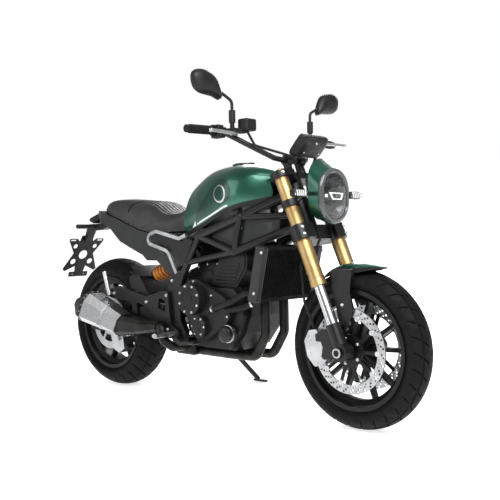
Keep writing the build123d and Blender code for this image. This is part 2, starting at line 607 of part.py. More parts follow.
# Number-plate carrier behind the tail, with the rear turn signals on its arm
arm = plate([
    (-50, 864), (-100, 868), (-118, 846), (-135, 808), (-240, 806), (-266, 796), (-300, 745), (-318, 735),
    (-302, 712), (-272, 722), (-236, 772), (-130, 776), (-80, 790),
], -20, 20, 5)
PLATE = Plane((-331, 0, 646), x_dir=(0, -1, 0), z_dir=Vector(-154, 0, 78))
PLATE_HOLE_R = 3.5
PLATE_BOLT = (36.0, -116.0)
half_x = [
    (34, 112), (40, 76), (58, 94), (104, 94), (104, 80), (60, 8), (104, -84), (92, -96), (32, -66), (26, -102),
    (58, -102), (58, -130),
]
x_plate = outline(half_x + [(-x, y) for x, y in reversed(half_x)], 3) - Circle(26)
for side in (-1, 1):
    x_plate -= Pos(60 * side, 50) * Circle(13)
    x_plate -= Pos(52 * side, -40) * Circle(16)
    x_plate -= Pos(82 * side, 85.5) * SlotOverall(34, 8)
    x_plate -= Pos(PLATE_BOLT[0] * side, PLATE_BOLT[1]) * Circle(PLATE_HOLE_R)
arm -= split(arm, bisect_by=PLATE, keep=Keep.TOP)
plate_bracket = one(extrude(PLATE * x_plate, amount=4), arm) - tail_cowl
rear_signal = one(
    cross_rod(7, 15, 60, -185, 793),
    Pos(-185, 92, 793) * fillet(Box(30, 82, 22).edges(), 8),
)
rear_signals = pair(rear_signal - plate_bracket)

# Engine
crankcase = plate([
    (600, 330), (630, 296), (700, 252), (895, 252), (955, 330), (985, 400), (985, 470), (925, 520), (760, 520),
    (690, 500), (622, 488), (600, 440),
], -90, 90, 14)
crankcase = one(crankcase, plate([
    (690, 262), (885, 262), (945, 335), (975, 405), (975, 465), (915, 515), (760, 515), (690, 490),
], -125, 125, 14))
crankcase -= discs_hull([(668, 402, 60), (690, 440, 43)], 92, 130)
output = one(
    cross_rod(39.7, CHAIN_Y - 4, CHAIN_Y + 4, *FRONT_SPROCKET),
    cross_rod(14, 84, CHAIN_Y, *FRONT_SPROCKET),
)
crankcase = one(crankcase, output)
cylinders = plate([
    (755, 520.2), (918, 520.2), (975, 600), (978, 640), (956, 702), (938, 722), (868, 730), (815, 640),
], -100, 100, 8)
right_cover = discs_hull([(709, 466, 84), (751, 352, 62), (850, 420, 70)], -150, -125.2)
right_cover = one(right_cover, cross_rod(68, -186, -149, 709, 466), cross_rod(44, -172, -149, 751, 352))
left_cover = one(discs_hull([(815, 400, 86), (745, 330, 50)], 125.2, 150), cross_rod(70, 149, 182, 815, 400))
sprocket_cover = discs_hull([(668, 402, 56), (690, 440, 40)], 117, 140)
engine_covers = group(right_cover, left_cover, sprocket_cover)
hose_a = bent([(1085, -120, 500), (1010, -150, 500), (944, -158, 465), (800, -158, 420)], 30, 13)
hose_b = bent([(1075, -96, 484), (985, -145, 440), (900, -150, 424)], 25, 13)

# Chain around both sprockets

def belt(grow):
    side_plane = Plane((0, CHAIN_Y + 8, 0), x_dir=(1, 0, 0), z_dir=(0, -1, 0))
    circles = [(Pos(0, REAR_TYRE_RADIUS) * Circle(SPROCKET_RADIUS + 5 + grow)).edges()[0],
               (Pos(*FRONT_SPROCKET) * Circle(40 + grow)).edges()[0]]
    return extrude(side_plane * make_hull(circles), amount=16)


chain = belt(13) - belt(0)

# Swingarm, rear axle, hugger and shock
arm_side = [
    (505, 432), (440, 436), (120, 364), (30, 352), (-42, 346), (-52, 290), (30, 282), (120, 284), (430, 322),
    (505, 330),
]
left_arm = plate(arm_side, 122, 152, 10)
cross = plate([(440, 428), (505, 428), (505, 330), (440, 330)], -150, 150, 6)
boss_web = plate([(500, 425), (560, 428), (582, 400), (560, 372), (500, 335)], -88, 88, 6)
truss = plate([
    (430, 425), (330, 556), (300, 556), (200, 378), (240, 378), (312, 500), (390, 425),
], -146, -128, 5)
eye = cross_rod(15, -146, -76, 314, 542)
swingarm = one(left_arm, other_side(left_arm), cross, boss_web, truss, eye)
swingarm -= cross_rod(14 + 0.1, -300, 300, PIVOT.X, PIVOT.Z)
swingarm -= to_rear * cross_rod(AXLE_RADIUS + 0.1, -300, 300)
BOBBIN_R, BOBBIN_DEEP = 4.0, 22.0
for y0, y1 in ((152 - BOBBIN_DEEP, 160), (-160, BOBBIN_DEEP - 152)):
    swingarm -= cross_rod(BOBBIN_R, y0, y1, 58, 303)
axle_nut = cross_rod(19, 152.2, 166, 0, REAR_TYRE_RADIUS)
rear_axle = one(to_rear * cross_rod(AXLE_RADIUS, -165, 165), axle_nut, other_side(axle_nut))

HUGGER = REAR_TYRE_RADIUS + 30
hugger = to_rear * arch(HUGGER, HUGGER + 4, 96, 27, 54)
hug_leg = plate([(150, 366), (270, 392), (296, 496), (262, 560), (222, 548), (236, 470)], 117, 121.8, 8)
hug_web = to_rear * (arch(HUGGER, HUGGER + 4, 121.8, 30, 48) - cross_rod(500, -95, 95))
rear_hugger = one(hugger, hug_leg, other_side(hug_leg), *hug_web.solids()) - truss - eye

shock_low = Vector(314, -58, 542)
shock_dir = (shock_top - shock_low).normalized()
shock_len = (shock_top - shock_low).length
shock_frame = Plane(origin=shock_low, z_dir=shock_dir).location
shock_body = one(
    rod(11, 0, shock_len), rod(24, shock_len * 0.5, shock_len - 30), rod(31, shock_len - 60, shock_len - 44),
    rod(31, 36, 50),
)
shock_body = one(shock_frame * shock_body, cross_rod(14, -75.8, -40, shock_low.X, shock_low.Z))
shock_body -= cross_rod(16 + FIT, -130, 0, shock_top.X, shock_top.Z)
coil = [(24.5, 50 + FIT)]
turns = 8
span = shock_len - 60 - FIT - 50 - FIT
for k in range(turns):
    z0 = 50 + FIT + span * k / turns
    pitch = span / turns
    coil += [(26, z0), (36, z0 + 0.2 * pitch), (36, z0 + 0.6 * pitch), (26, z0 + 0.8 * pitch)]
coil += [(26, 50 + FIT + span), (24.5, 50 + FIT + span)]
shock_spring = shock_frame * revolve(Plane.XZ * make_face(Polyline(*coil, close=True)), axis=Axis.Z)

rear_caliper = plate([(62, 250), (150, 262), (160, 200), (120, 176), (70, 196)], -112, -52, 10)
rear_caliper -= to_rear * cross_rod(REAR_DISC_RADIUS + 6, rear_disc_y - 8, rear_disc_y + 8)
rear_caliper = one(rear_caliper, plate([(60, 292), (118, 292), (130, 236), (80, 228)], -121.8, -100, 6))

# Radiator with its side covers
rad = Pos(1100, 0, 580) * Rot(0, 13, 0)
radiator = rad * Box(34, 300, 200)
radiator = one(radiator, rad * Pos(0, 0, 104) * Box(34, 330, 16), rad * Pos(0, 0, -104) * Box(34, 330, 16))
tank_side = rad * Pos(0, 168, 0) * fillet(Box(46, 34, 226).edges(), 8)
radiator_covers = pair(tank_side - radiator)

coolant_hoses = group(
    hose_a - radiator - right_cover - radiator_covers,
    hose_b - radiator - right_cover - crankcase,
)

# Exhaust: two headers into a collector, a link pipe and the silencer on the right
header = bent([
    (945, 50, 640), (1022, 54, 530), (1036, 56, 450), (1036, 56, 330), (976, 52, 232), (860, 48, 228),
    (610, 44, 228),
], 45, 20)
header -= cylinders
collector = Pos(568, 0, 246) * fillet(Box(126, 176, 78).edges(), 14)
JOINT = Plane(origin=(517, -190, 338), x_dir=(0, 1, 0), z_dir=(-0.968, 0, 0.25))
link = bent([
    (575, -60, 246), (566, -152, 248), (548, -190, 278), (534, -190, 333.6), (470, -190, 350.2),
], 22, 20)
link = split(link, bisect_by=JOINT, keep=Keep.BOTTOM)
exhaust_headers = one(collector, header, other_side(header), link) - main_frame - swingarm

SIL_Y = -214.0


def can_section(x_top, z_top, x_low, z_low, width, y=SIL_Y):
    top_p, low_p = Vector(x_top, y, z_top), Vector(x_low, y, z_low)
    up = (top_p - low_p).normalized()
    tall = (top_p - low_p).length
    plane = Plane(origin=(top_p + low_p) * 0.5, x_dir=up, z_dir=up.cross(Vector(0, 1, 0)))
    h, w = tall / 2, width / 2
    half_ring = [(-h, 0.55 * w), (-0.62 * h, w), (0.5 * h, w), (h, 0.62 * w)]
    return plane * outline([(u, -v) for u, v in half_ring] + half_ring[::-1])


sec_front = can_section(325, 378, 280, 288, 92)
sec_rear = can_section(72, 476, -8, 340, 116)
sec_end = can_section(-42, 440, -30, 346, 84)
silencer_can = loft([sec_front, sec_rear], ruled=True)
cone_mid = can_section(420, 362, 400, 300, 66, -200)
cone_start = JOINT.offset(FIT) * RegularPolygon(26, 8, rotation=22.5)
cone = loft([cone_start, cone_mid, can_section(325.4, 377.8, 280.4, 287.8, 92)], ruled=True)
end_cap = loft([can_section(71.6, 476, -8.4, 340, 116), sec_end], ruled=True)
silencer_caps = group(cone, end_cap)

# Peg hangers, pegs and foot controls
hanger_line = [
    (548, 492), (500, 492), (400, 464), (196, 506), (140, 492), (116, 474), (122, 452), (152, 446), (330, 434),
    (420, 412), (478, 352), (520, 300), (560, 286), (612, 294), (612, 326), (566, 346),
]
hanger = plate(hanger_line, PLATE_OUT + 6.2, PLATE_OUT + 18, 8)
hanger -= plate([(490, 462), (530, 450), (530, 400), (478, 416)], 0, 300, 8)
sil_tab = plate([(290, 478), (330, 466), (330, 372), (296, 360)], -PLATE_OUT - 18, -PLATE_OUT - 10, 6)
hanger_studs = one(
    cross_rod(9, PLATE_OUT + FIT, PLATE_OUT + 8, 540, 470),
    cross_rod(9, PLATE_OUT + FIT, PLATE_OUT + 8, 540, 360),
)
right_hanger = one(other_side(hanger), other_side(hanger_studs), sil_tab) - silencer_can - cone
left_hanger = one(hanger, hanger_studs)
peg_hangers = group(right_hanger, left_hanger)
peg = one(cross_rod(11, PLATE_OUT + 18 + FIT, 274, 588, 310), Pos(588, 240, 310) * Box(30, 70, 14))
peg_y = PLATE_OUT + 18 + FIT
rear_peg = one(
    cross_rod(9, peg_y, peg_y + 16, 138, 470),
    bar((138, peg_y + 11, 462), (106, peg_y + 15, 572), 10),
)
footpegs = group(peg, other_side(peg), rear_peg, other_side(rear_peg))
pedal = plate([
    (596, 300), (594, 276), (640, 262), (742, 274), (744, 288), (640, 280), (616, 296),
], -PLATE_OUT - 30, -PLATE_OUT - 18 - FIT, 5)
pedal_pad = Pos(736, -PLATE_OUT - 38, 284) * fillet(Box(34, 40, 12).edges(), 4)
shifter = plate([(600, 292), (600, 274), (730, 282), (732, 292)], PLATE_OUT + 18 + FIT, PLATE_OUT + 28, 4)
shift_pad = cross_rod(9, PLATE_OUT + 18 + FIT, PLATE_OUT + 72, 726, 287)
foot_controls = group(one(pedal, pedal_pad), one(shifter, shift_pad))

# Side covers and the bright loop trim between seat, tank and frame
loop_path = [(668, 738), (624, 724), (470, 758), (416, 742), (412, 706), (548, 670), (604, 574)]
LOOP_Y = PLATE_OUT + FIT + 7
loop_line = FilletPolyline(*[(x, LOOP_Y, z) for x, z in loop_path], radius=[14, 30, 24, 24, 40])
loop_start = Plane(origin=loop_line @ 0, x_dir=(0, 1, 0), z_dir=loop_line % 0)
loop_trims = pair(sweep(loop_start * Rectangle(14, 15), path=loop_line))
cover = plate([
    (660, 724), (626, 712), (476, 744), (428, 734), (426, 716), (552, 682), (600, 600), (640, 610), (700, 715),
], 132.2, PLATE_OUT, 6)
side_covers = pair(cover - left_frame - other_side(shock_lug) - tail_cowl)

# Side stand, drawn where it stands: its pad lies on the leaned ground
rear_low = 102 * (cos(radians(LEAN)) - 1)


def ground_z(y):
    """The height of the ground at y, in the upright drawing."""
    return y * tan(radians(LEAN)) + rear_low / cos(radians(LEAN))


foot_y = 292.0
stand_foot = Vector(676, foot_y, ground_z(foot_y))
eye_piece = Solid.make_cylinder(18, 16, Plane(origin=STAND_PIVOT - STAND_AXIS * 2, z_dir=STAND_AXIS))
stand_leg = bar(STAND_PIVOT + STAND_AXIS * 6, stand_foot + Vector(-4, -12, 12), 11)
pad = Rot(-LEAN, 0, 0) * slab([(-34, -20), (24, -24), (40, 0), (24, 24), (-34, 20)], 0, 9, 8)
side_stand = one(stand_leg, eye_piece, Pos(stand_foot) * pad)
side_stand -= Solid.make_cylinder(6 + RUN, 40, Plane(origin=STAND_PIVOT - STAND_AXIS * 20, z_dir=STAND_AXIS))
GROUND = Plane(origin=stand_foot, z_dir=(0, -sin(radians(LEAN)), cos(radians(LEAN))))
side_stand -= split(side_stand, bisect_by=GROUND, keep=Keep.BOTTOM)

NODES = {
    "front_tyre": front_tyre, "front_wheel": front_wheel, "front_disc_rings": front_disc_rings,
    "rear_tyre": rear_tyre, "rear_wheel": rear_wheel,
    "rear_disc": rear_disc, "rear_sprocket": rear_sprocket, "fork_outer_tubes": fork_outer_tubes,
    "fork_inner_tubes": fork_inner_tubes, "fork_bottoms": fork_bottoms, "front_calipers": front_calipers,
    "front_axle": front_axle, "lower_yoke": lower_yoke, "upper_yoke": upper_yoke, "handlebar": handlebar,
    "grips": grips, "control_clusters": control_clusters, "levers": levers, "lever_perches": lever_perches,
    "mirrors": mirrors, "headlight_cowl": headlight_cowl, "headlight_lens": headlight_lens,
    "headlight_bracket": headlight_bracket, "turn_signals": turn_signals, "instrument": instrument,
    "front_fender": front_fender, "main_frame": main_frame, "fuel_tank": fuel_tank, "tank_base": tank_base,
    "fuel_cap": fuel_cap, "seat": seat, "tail_cowl": tail_cowl, "tail_light": tail_light,
    "plate_bracket": plate_bracket, "rear_signals": rear_signals, "crankcase": crankcase, "cylinders": cylinders,
    "engine_covers": engine_covers, "chain": chain, "swingarm": swingarm, "rear_axle": rear_axle,
    "rear_hugger": rear_hugger,
    "shock_body": shock_body, "shock_spring": shock_spring, "rear_caliper": rear_caliper,
    "radiator": radiator, "radiator_covers": radiator_covers, "exhaust_headers": exhaust_headers,
    "silencer_can": silencer_can, "silencer_caps": silencer_caps, "peg_hangers": peg_hangers,
    "footpegs": footpegs, "foot_controls": foot_controls, "coolant_hoses": coolant_hoses,
    "brake_hoses": brake_hoses, "loop_trims": loop_trims, "side_covers": side_covers, "side_stand": side_stand,
}

# The finished machine leans to its left on the stand, with the middle of its box at the origin
leaned = {name: Rot(-LEAN, 0, 0) * shape for name, shape in NODES.items()}
whole = Compound([solid for shape in leaned.values() for solid in shape.solids()]).bounding_box()
SHIFT = Pos(-(whole.min.X + whole.max.X) / 2, -(whole.min.Y + whole.max.Y) / 2, -whole.min.Z)
for name, shape in leaned.items():
    export_step(SHIFT * shape, f"parts/{name}.step")
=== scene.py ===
# %% [markdown]
# # A scrambler motorcycle, dressed on its CAD frame
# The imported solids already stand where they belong, leaning on the side stand. This lesson gives every solid a
# finish and adds what is too fine for the solids: tread, links, bolts, seams and lamps. All of it could be
# modelled by hand, but a script builds the same machine every time, and each size can be read in it and changed.

# %% Load the frame
import json
import math
import bmesh
import bpy
from mathutils import Matrix, Vector
from mathutils.bvhtree import BVHTree


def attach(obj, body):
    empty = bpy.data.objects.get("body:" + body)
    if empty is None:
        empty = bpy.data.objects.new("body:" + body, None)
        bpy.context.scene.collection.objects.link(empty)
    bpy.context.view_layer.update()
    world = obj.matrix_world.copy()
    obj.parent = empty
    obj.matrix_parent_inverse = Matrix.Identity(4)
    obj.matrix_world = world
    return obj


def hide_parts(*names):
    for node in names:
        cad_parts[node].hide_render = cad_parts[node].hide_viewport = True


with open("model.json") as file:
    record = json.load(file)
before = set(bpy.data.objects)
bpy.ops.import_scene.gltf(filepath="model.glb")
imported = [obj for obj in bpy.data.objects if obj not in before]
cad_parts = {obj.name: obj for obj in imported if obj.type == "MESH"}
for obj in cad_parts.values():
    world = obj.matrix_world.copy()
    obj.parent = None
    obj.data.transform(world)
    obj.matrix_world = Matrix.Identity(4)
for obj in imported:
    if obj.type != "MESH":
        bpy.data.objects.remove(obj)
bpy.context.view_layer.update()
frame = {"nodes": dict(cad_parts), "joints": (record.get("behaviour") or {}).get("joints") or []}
nodes = frame["nodes"]

# %% [markdown]
# The machine was drawn upright and then leaned on its stand. The upright drawing is easier to think in: x forward
# from the rear axle, y to the left, z up from the ground, in millimetres. Pieces could hang on a leaned empty, but
# a finished piece keeps its place in its mesh. So the rear wheel's joint is read for its axis and its place, and
# one matrix takes every point of the drawing into the scene.

# %% From the upright drawing to the leaned machine
joints = {joint["name"]: joint for joint in frame["joints"]}
REAR_RADIUS = 315.0
across = Vector(joints["rear_wheel_spin"]["axis"]).normalized()
forward = Vector((1, 0, 0))
upward = forward.cross(across).normalized()
ground = Vector(joints["rear_wheel_spin"]["pos_m"]) - upward * REAR_RADIUS / 1000
LEANED = Matrix((
    (forward.x, across.x, upward.x, ground.x),
    (forward.y, across.y, upward.y, ground.y),
    (forward.z, across.z, upward.z, ground.z),
    (0, 0, 0, 1),
))
print("lean, degrees:", round(math.degrees(math.asin(upward.y)), 2))

# %% [markdown]
# The photograph was taken from the right front with a short telephoto lens. A camera could be placed by eye, but
# then one end of the machine always drifts. Its angles and distance come from fitting both wheels, the fork and
# the bar to their places in the picture. It leans with the machine, so the machine stands upright in the frame.

# %% Camera
AZIMUTH, ELEVATION, ROLL = math.radians(43.72), math.radians(1.0), math.radians(-0.97)
FOCAL_PX, FRAME_PX, SENSOR_MM = 780.5, 500.0, 36.0
TARGET, DISTANCE = Vector((0.8984, 0, 0.6708)), 3.3064

back = Vector((
    math.sin(AZIMUTH) * math.cos(ELEVATION),
    -math.cos(AZIMUTH) * math.cos(ELEVATION),
    math.sin(ELEVATION),
))
level = Vector((0, 0, 1)).cross(back).normalized()
rise = back.cross(level)
right = level * math.cos(ROLL) + rise * math.sin(ROLL)
top = -level * math.sin(ROLL) + rise * math.cos(ROLL)
seat_of_camera = TARGET + back * DISTANCE
pose = Matrix((
    (right.x, top.x, back.x, seat_of_camera.x),
    (right.y, top.y, back.y, seat_of_camera.y),
    (right.z, top.z, back.z, seat_of_camera.z),
    (0, 0, 0, 1),
))
lens = bpy.data.cameras.new("camera")
lens.lens = FOCAL_PX / FRAME_PX * SENSOR_MM
lens.sensor_width = SENSOR_MM
camera = bpy.data.objects.new("camera", lens)
camera.matrix_world = LEANED @ pose
bpy.context.scene.collection.objects.link(camera)
bpy.context.scene.camera = camera
print("camera height, m:", round(camera.matrix_world.translation.z, 3), "lens, mm:", round(lens.lens, 1))

# %% [markdown]
# A pale floor and soft light, as in a studio: a faint even sky, a large lamp high on the camera's right, a weaker
# one on the left and one behind for the edges. A curved backdrop could be modelled. A flat floor under a sky that
# is white to the camera has no horizon either, and the sky is dim for everything else, so black stays black.

# %% Floor and light
FLOOR_HALF = 30.0
SKY_ON_THINGS, SKY_SEEN = 0.36, 1.0

floor_mesh = bpy.data.meshes.new("floor")
corners = [(x * FLOOR_HALF, y * FLOOR_HALF, 0) for x, y in ((-1, -1), (1, -1), (1, 1), (-1, 1))]
floor_mesh.from_pydata(corners, [], [(0, 1, 2, 3)])
floor = bpy.data.objects.new("floor", floor_mesh)
bpy.context.scene.collection.objects.link(floor)

world = bpy.data.worlds.new("studio")
bpy.context.scene.world = world
world.use_nodes = True
sky = world.node_tree
backdrop = sky.nodes["Background"]
backdrop.inputs["Color"].default_value = (1, 1, 1, 1)
seen = sky.nodes.new("ShaderNodeLightPath")
strength = sky.nodes.new("ShaderNodeMapRange")
strength.inputs["To Min"].default_value = SKY_ON_THINGS
strength.inputs["To Max"].default_value = SKY_SEEN
sky.links.new(seen.outputs["Is Camera Ray"], strength.inputs["Value"])
sky.links.new(strength.outputs["Result"], backdrop.inputs["Strength"])
bpy.context.scene.view_settings.view_transform = "Standard"


def soft_lamp(name, spot, aim, size, watts):
    """A square lamp of a size in metres, aimed at a point."""
    lamp = bpy.data.lights.new(name, "AREA")
    lamp.shape, lamp.size, lamp.energy = "SQUARE", size, watts
    holder = bpy.data.objects.new(name, lamp)
    holder.location = spot
    holder.rotation_euler = (Vector(aim) - Vector(spot)).to_track_quat("-Z", "Y").to_euler()
    bpy.context.scene.collection.objects.link(holder)


soft_lamp("key_lamp", (2.6, -1.2, 3.4), (0.2, 0, 0.6), 2.6, 210)
soft_lamp("fill_lamp", (-1.6, -3.6, 2.2), (0, 0, 0.6), 3.0, 62)
soft_lamp("edge_lamp", (-1.5, 3.0, 2.6), (0, 0, 0.8), 2.0, 120)
print("floor and three soft lamps")

# %% [markdown]
# Finishes. Every surface of a motorcycle is a coat, a moulding or bare metal, and the eye tells them apart by colour,
# gloss and grain. Pictures could be wrapped around the pieces, but they need unwrapping and a file each. Noise in
# the piece's own coordinates needs neither, so a Principled shader with noise is the start of each material. One
# small function adds a node, sets its values and links its inputs. Colours are sRGB hex values.

# %% Material helpers
def linear(code):
    """An sRGB hex colour as linear light, with full opacity."""
    parts = [int(code[i:i + 2], 16) / 255 for i in (1, 3, 5)]
    return [p / 12.92 if p <= 0.04045 else ((p + 0.055) / 1.055) ** 2.4 for p in parts] + [1.0]


def add(tree, kind, inputs=(), **settings):
    """Adds a node with its settings, and sets or links its inputs."""
    made = tree.nodes.new(kind)
    for key, value in settings.items():
        setattr(made, key, value)
    for key, value in dict(inputs).items():
        if isinstance(value, bpy.types.NodeSocket):
            tree.links.new(value, made.inputs[key])
        else:
            made.inputs[key].default_value = value
    return made


def shader(name, **sockets):
    """A new material with a Principled shader, and its tree and Object coordinates."""
    material = bpy.data.materials.new(name)
    material.use_nodes = True
    tree = material.node_tree
    bsdf = tree.nodes["Principled BSDF"]
    for key, value in sockets.items():
        bsdf.inputs[key.replace("_", " ")].default_value = value
    spot = add(tree, "ShaderNodeTexCoord").outputs["Object"]
    return material, tree, bsdf, spot


def per_mm(size):
    """A texture scale whose features are about this many millimetres wide."""
    return 1000.0 / size


CLOUD_LOW, CLOUD_HIGH = 0.35, 0.65


def vary(tree, bsdf, spot, pale, dark, size, socket="Base Color"):
    """Clouds between two colours, or two roughness values, about size mm wide."""
    cloud = add(tree, "ShaderNodeTexNoise", {"Vector": spot, "Scale": per_mm(size), "Detail": 3.0})
    ramp = add(tree, "ShaderNodeValToRGB", {"Fac": cloud.outputs["Fac"]})
    first, last = ramp.color_ramp.elements
    first.position, first.color = CLOUD_LOW, pale
    last.position, last.color = CLOUD_HIGH, dark
    tree.links.new(ramp.outputs["Color"], bsdf.inputs[socket])


def grain(tree, bsdf, spot, size, depth, strength=0.5):
    """A fine bump about size mm wide and depth mm deep."""
    cloud = add(tree, "ShaderNodeTexNoise", {"Vector": spot, "Scale": per_mm(size), "Detail": 2.0})
    bump = add(tree, "ShaderNodeBump",
               {"Height": cloud.outputs["Fac"], "Distance": depth / 1000, "Strength": strength})
    tree.links.new(bump.outputs["Normal"], bsdf.inputs["Normal"])


def grey(value):
    """A roughness as a colour, for a ramp."""
    return (value, value, value, 1.0)


finishes = {}
print("material helpers ready")

# %% [markdown]
# Coats and mouldings: powder coat on frame and wheels, grained plastics, rubber and painted castings. Nearly all are
# black, so gloss parts them more than colour does. One flat colour would do from afar. Close to, the eye finds slow
# changes of tone and a fine grain, so `plain` gives every finish both. A real grain is often 0.3 to 0.5 mm wide; the
# sizes below, in millimetres, are drawn coarser so that the grain shows.

# %% Paints, plastics and rubber
def plain(name, pale, dark, rough, metal=0.0, cloud=60.0, size=1.2, depth=0.05, strength=0.35, **more):
    """A finish with slow clouds of colour and of roughness, and a fine grain; sizes in mm."""
    material, tree, bsdf, spot = shader(name, Metallic=metal, **more)
    vary(tree, bsdf, spot, linear(pale), linear(dark), cloud)
    vary(tree, bsdf, spot, grey(rough[0]), grey(rough[1]), cloud * 0.4, "Roughness")
    grain(tree, bsdf, spot, size, depth, strength)
    finishes[name] = material


# Powder coat baked on steel: black with a soft sheen, and faintly pebbled.
plain("satin_powder_coat", "#121214", "#0c0d0e", (0.34, 0.46), size=1.6, depth=0.03, Specular_IOR_Level=0.32)
# The same coat on the wheels, a deeper black with less shine.
plain("wheel_powder_coat", "#0e0e10", "#09090a", (0.34, 0.46), size=1.6, depth=0.03, Specular_IOR_Level=0.24)
# ABS from a grained mould: black and softly dull.
plain("moulded_black_plastic", "#151517", "#0f0f10", (0.42, 0.56), size=0.9, depth=0.08, Specular_IOR_Level=0.3)
# Moulded plastic dyed grey: a shade paler, so that covers part from the frame.
plain("dark_grey_plastic", "#202122", "#191a1b", (0.40, 0.52), size=0.9, depth=0.06, Specular_IOR_Level=0.36)
# Cast aluminium under satin paint: the casting's grain shows through, with a hint of metal.
plain("cast_engine_paint", "#161617", "#0f1011", (0.36, 0.50), metal=0.2, size=1.1, depth=0.10, Specular_IOR_Level=0.32)
# Moulded rubber of grips and hoses: dull, with hardly a highlight.
plain("moulded_rubber", "#111111", "#0b0b0b", (0.56, 0.70), size=0.8, depth=0.08, Specular_IOR_Level=0.24)
# Tyre rubber: the dullest black, because its soot swallows the light.
plain("tyre_rubber", "#0d0d0d", "#080808", (0.60, 0.76), cloud=40, size=1.4, depth=0.10, Specular_IOR_Level=0.14)
# Thin black paint on the radiator, left flat so that it sheds heat.
plain("radiator_black", "#0b0b0c", "#070708", (0.58, 0.72), size=1.0, depth=0.03, Specular_IOR_Level=0.12)
# Enamel on the shock's spring: a warm orange with a smooth gloss.
plain("spring_enamel", "#b5702a", "#9c5c1f", (0.30, 0.40), size=2.0, depth=0.01)
# White enamel of the tank's line: clean, and a little glossy.
plain("white_paint", "#e6e8e6", "#dcdfdd", (0.30, 0.38), size=2.0, depth=0.01)
print("paints, plastics and rubber")

# %% [markdown]
# Bare metals. A metal has no colour of its own below the shine: it tints what it mirrors, and its finish is how much
# it blurs. So these share `plain`, with the metal turned up, and differ in roughness. The brushed silencer could have
# anisotropic shine, which bends highlights but draws no lines. Noise stretched into streaks draws the brush lines.

# %% Metals
# Anodised aluminium of the fork's outer tubes: pale gold and satin, because it is etched before it is dyed.
plain("gold_anodising", "#b59a6e", "#a6895c", (0.40, 0.50), metal=1.0, size=2.2, depth=0.01)
# Hard chrome of the inner tubes, ground and polished: nearly a mirror.
plain("hard_chrome", "#c9cacc", "#bfc1c3", (0.16, 0.22), metal=1.0, size=3.0, depth=0.0005, strength=0.1)
# Tumbled aluminium of trim, levers, calipers and bolts: bright, with soft highlights.
plain("satin_aluminium", "#c6c8ca", "#b4b6b9", (0.26, 0.38), metal=1.0, size=1.0, depth=0.02)
# Stainless steel of the discs, ground flat: bright grey with a fine tooth.
plain("ground_disc_steel", "#b9bbbd", "#a2a4a7", (0.24, 0.36), metal=1.0, size=0.7, depth=0.02)
# Exhaust steel, darkened by heat: brown-black, half metal.
plain("dark_exhaust_steel", "#2b2a29", "#1c1b1a", (0.36, 0.52), metal=0.8, size=1.4, depth=0.03)
# Chain steel under oil and dust: a dull brownish grey.
plain("oiled_chain_steel", "#7d776a", "#5d584e", (0.34, 0.50), metal=1.0, size=1.0, depth=0.02)

# Brushed stainless of the silencer: streaks along x. Real brush lines are about 0.2 mm wide, and are drawn 1 to
# 2.4 mm wide here so that they show.
STREAK = 0.035
brushed, tree, bsdf, spot = shader("brushed_silencer_steel", Metallic=1.0)
mapped = add(tree, "ShaderNodeMapping", {"Vector": spot, "Scale": (STREAK, 1.0, 1.0)})
streaks = mapped.outputs["Vector"]
vary(tree, bsdf, streaks, linear("#b7b8b9"), linear("#9c9ea0"), 2.4)
vary(tree, bsdf, streaks, grey(0.24), grey(0.36), 1.6, "Roughness")
grain(tree, bsdf, streaks, 1.0, 0.02)
finishes["brushed_silencer_steel"] = brushed
print("metals")

# %% [markdown]
# Satin metallic green on tank, lamp cowl and fender, with a deeper green for the tank's panels. Real flakes are a
# fraction of a millimetre wide. They could be tiny faces with their own normals; cells of roughness give the same
# glint for less, and are drawn about 1 mm wide so that they show. A clear coat lies on top.

# %% Green paint
FLAKE = 1.0


def metallic_green(name, pale, dark):
    """Metallic paint: clouds of colour, flakes that differ in gloss, and a clear coat."""
    material, tree, bsdf, spot = shader(name, Metallic=0.8, Coat_Weight=0.6, Coat_Roughness=0.12)
    vary(tree, bsdf, spot, linear(pale), linear(dark), 90)
    flakes = add(tree, "ShaderNodeTexVoronoi", {"Vector": spot, "Scale": per_mm(FLAKE)})
    ramp = add(tree, "ShaderNodeValToRGB", {"Fac": flakes.outputs["Distance"]})
    ramp.color_ramp.elements[0].color, ramp.color_ramp.elements[1].color = grey(0.27), grey(0.38)
    tree.links.new(ramp.outputs["Color"], bsdf.inputs["Roughness"])
    finishes[name] = material


metallic_green("metallic_green_paint", "#265f4d", "#1e5242")
metallic_green("deep_green_paint", "#18443a", "#13382f")
print("green paint")

# %% [markdown]
# Clear and lit parts: the headlight's glass and rim, red, amber and ribbed lenses, the dark display and the mirrors.
# Glass could be faked with plain gloss. Light that really passes through it shows the bowl behind, so the lenses
# transmit. The seat's vinyl is here too, because it is a moulded skin as well.

# %% Glass and lenses
def glassy(name, colour, rough, through, ior=1.49):
    """A clear or tinted lens that lets a share of the light through."""
    material, tree, bsdf, spot = shader(
        name, Base_Color=linear(colour), IOR=ior, Transmission_Weight=through, Roughness=rough)
    grain(tree, bsdf, spot, 6.0, 0.002, 0.2)
    finishes[name] = material


# Polycarbonate of the headlight's glass: clear and hard, and only its edges and highlights are seen.
glassy("clear_polycarbonate", "#f4f6f6", 0.02, 1.0, 1.45)
# Acrylic lenses, dyed through: the colour glows because half of the light comes back out.
glassy("red_lens_acrylic", "#8d1210", 0.08, 0.55)
glassy("amber_lens_acrylic", "#d9812a", 0.10, 0.45)
# A tinted clear moulding around the headlight: smoky, with pale edges.
glassy("clear_grey_rim", "#5d6265", 0.08, 0.45)
# Glass over a dark display: black, and sharply glossy.
plain("display_glass", "#0b0c0e", "#101215", (0.04, 0.08), size=8.0, depth=0.002)
# Silvered mirror glass: no colour but the sky's.
plain("mirror_glass", "#c9d2d8", "#c4cdd4", (0.02, 0.04), metal=1.0, size=9.0, depth=0.001)
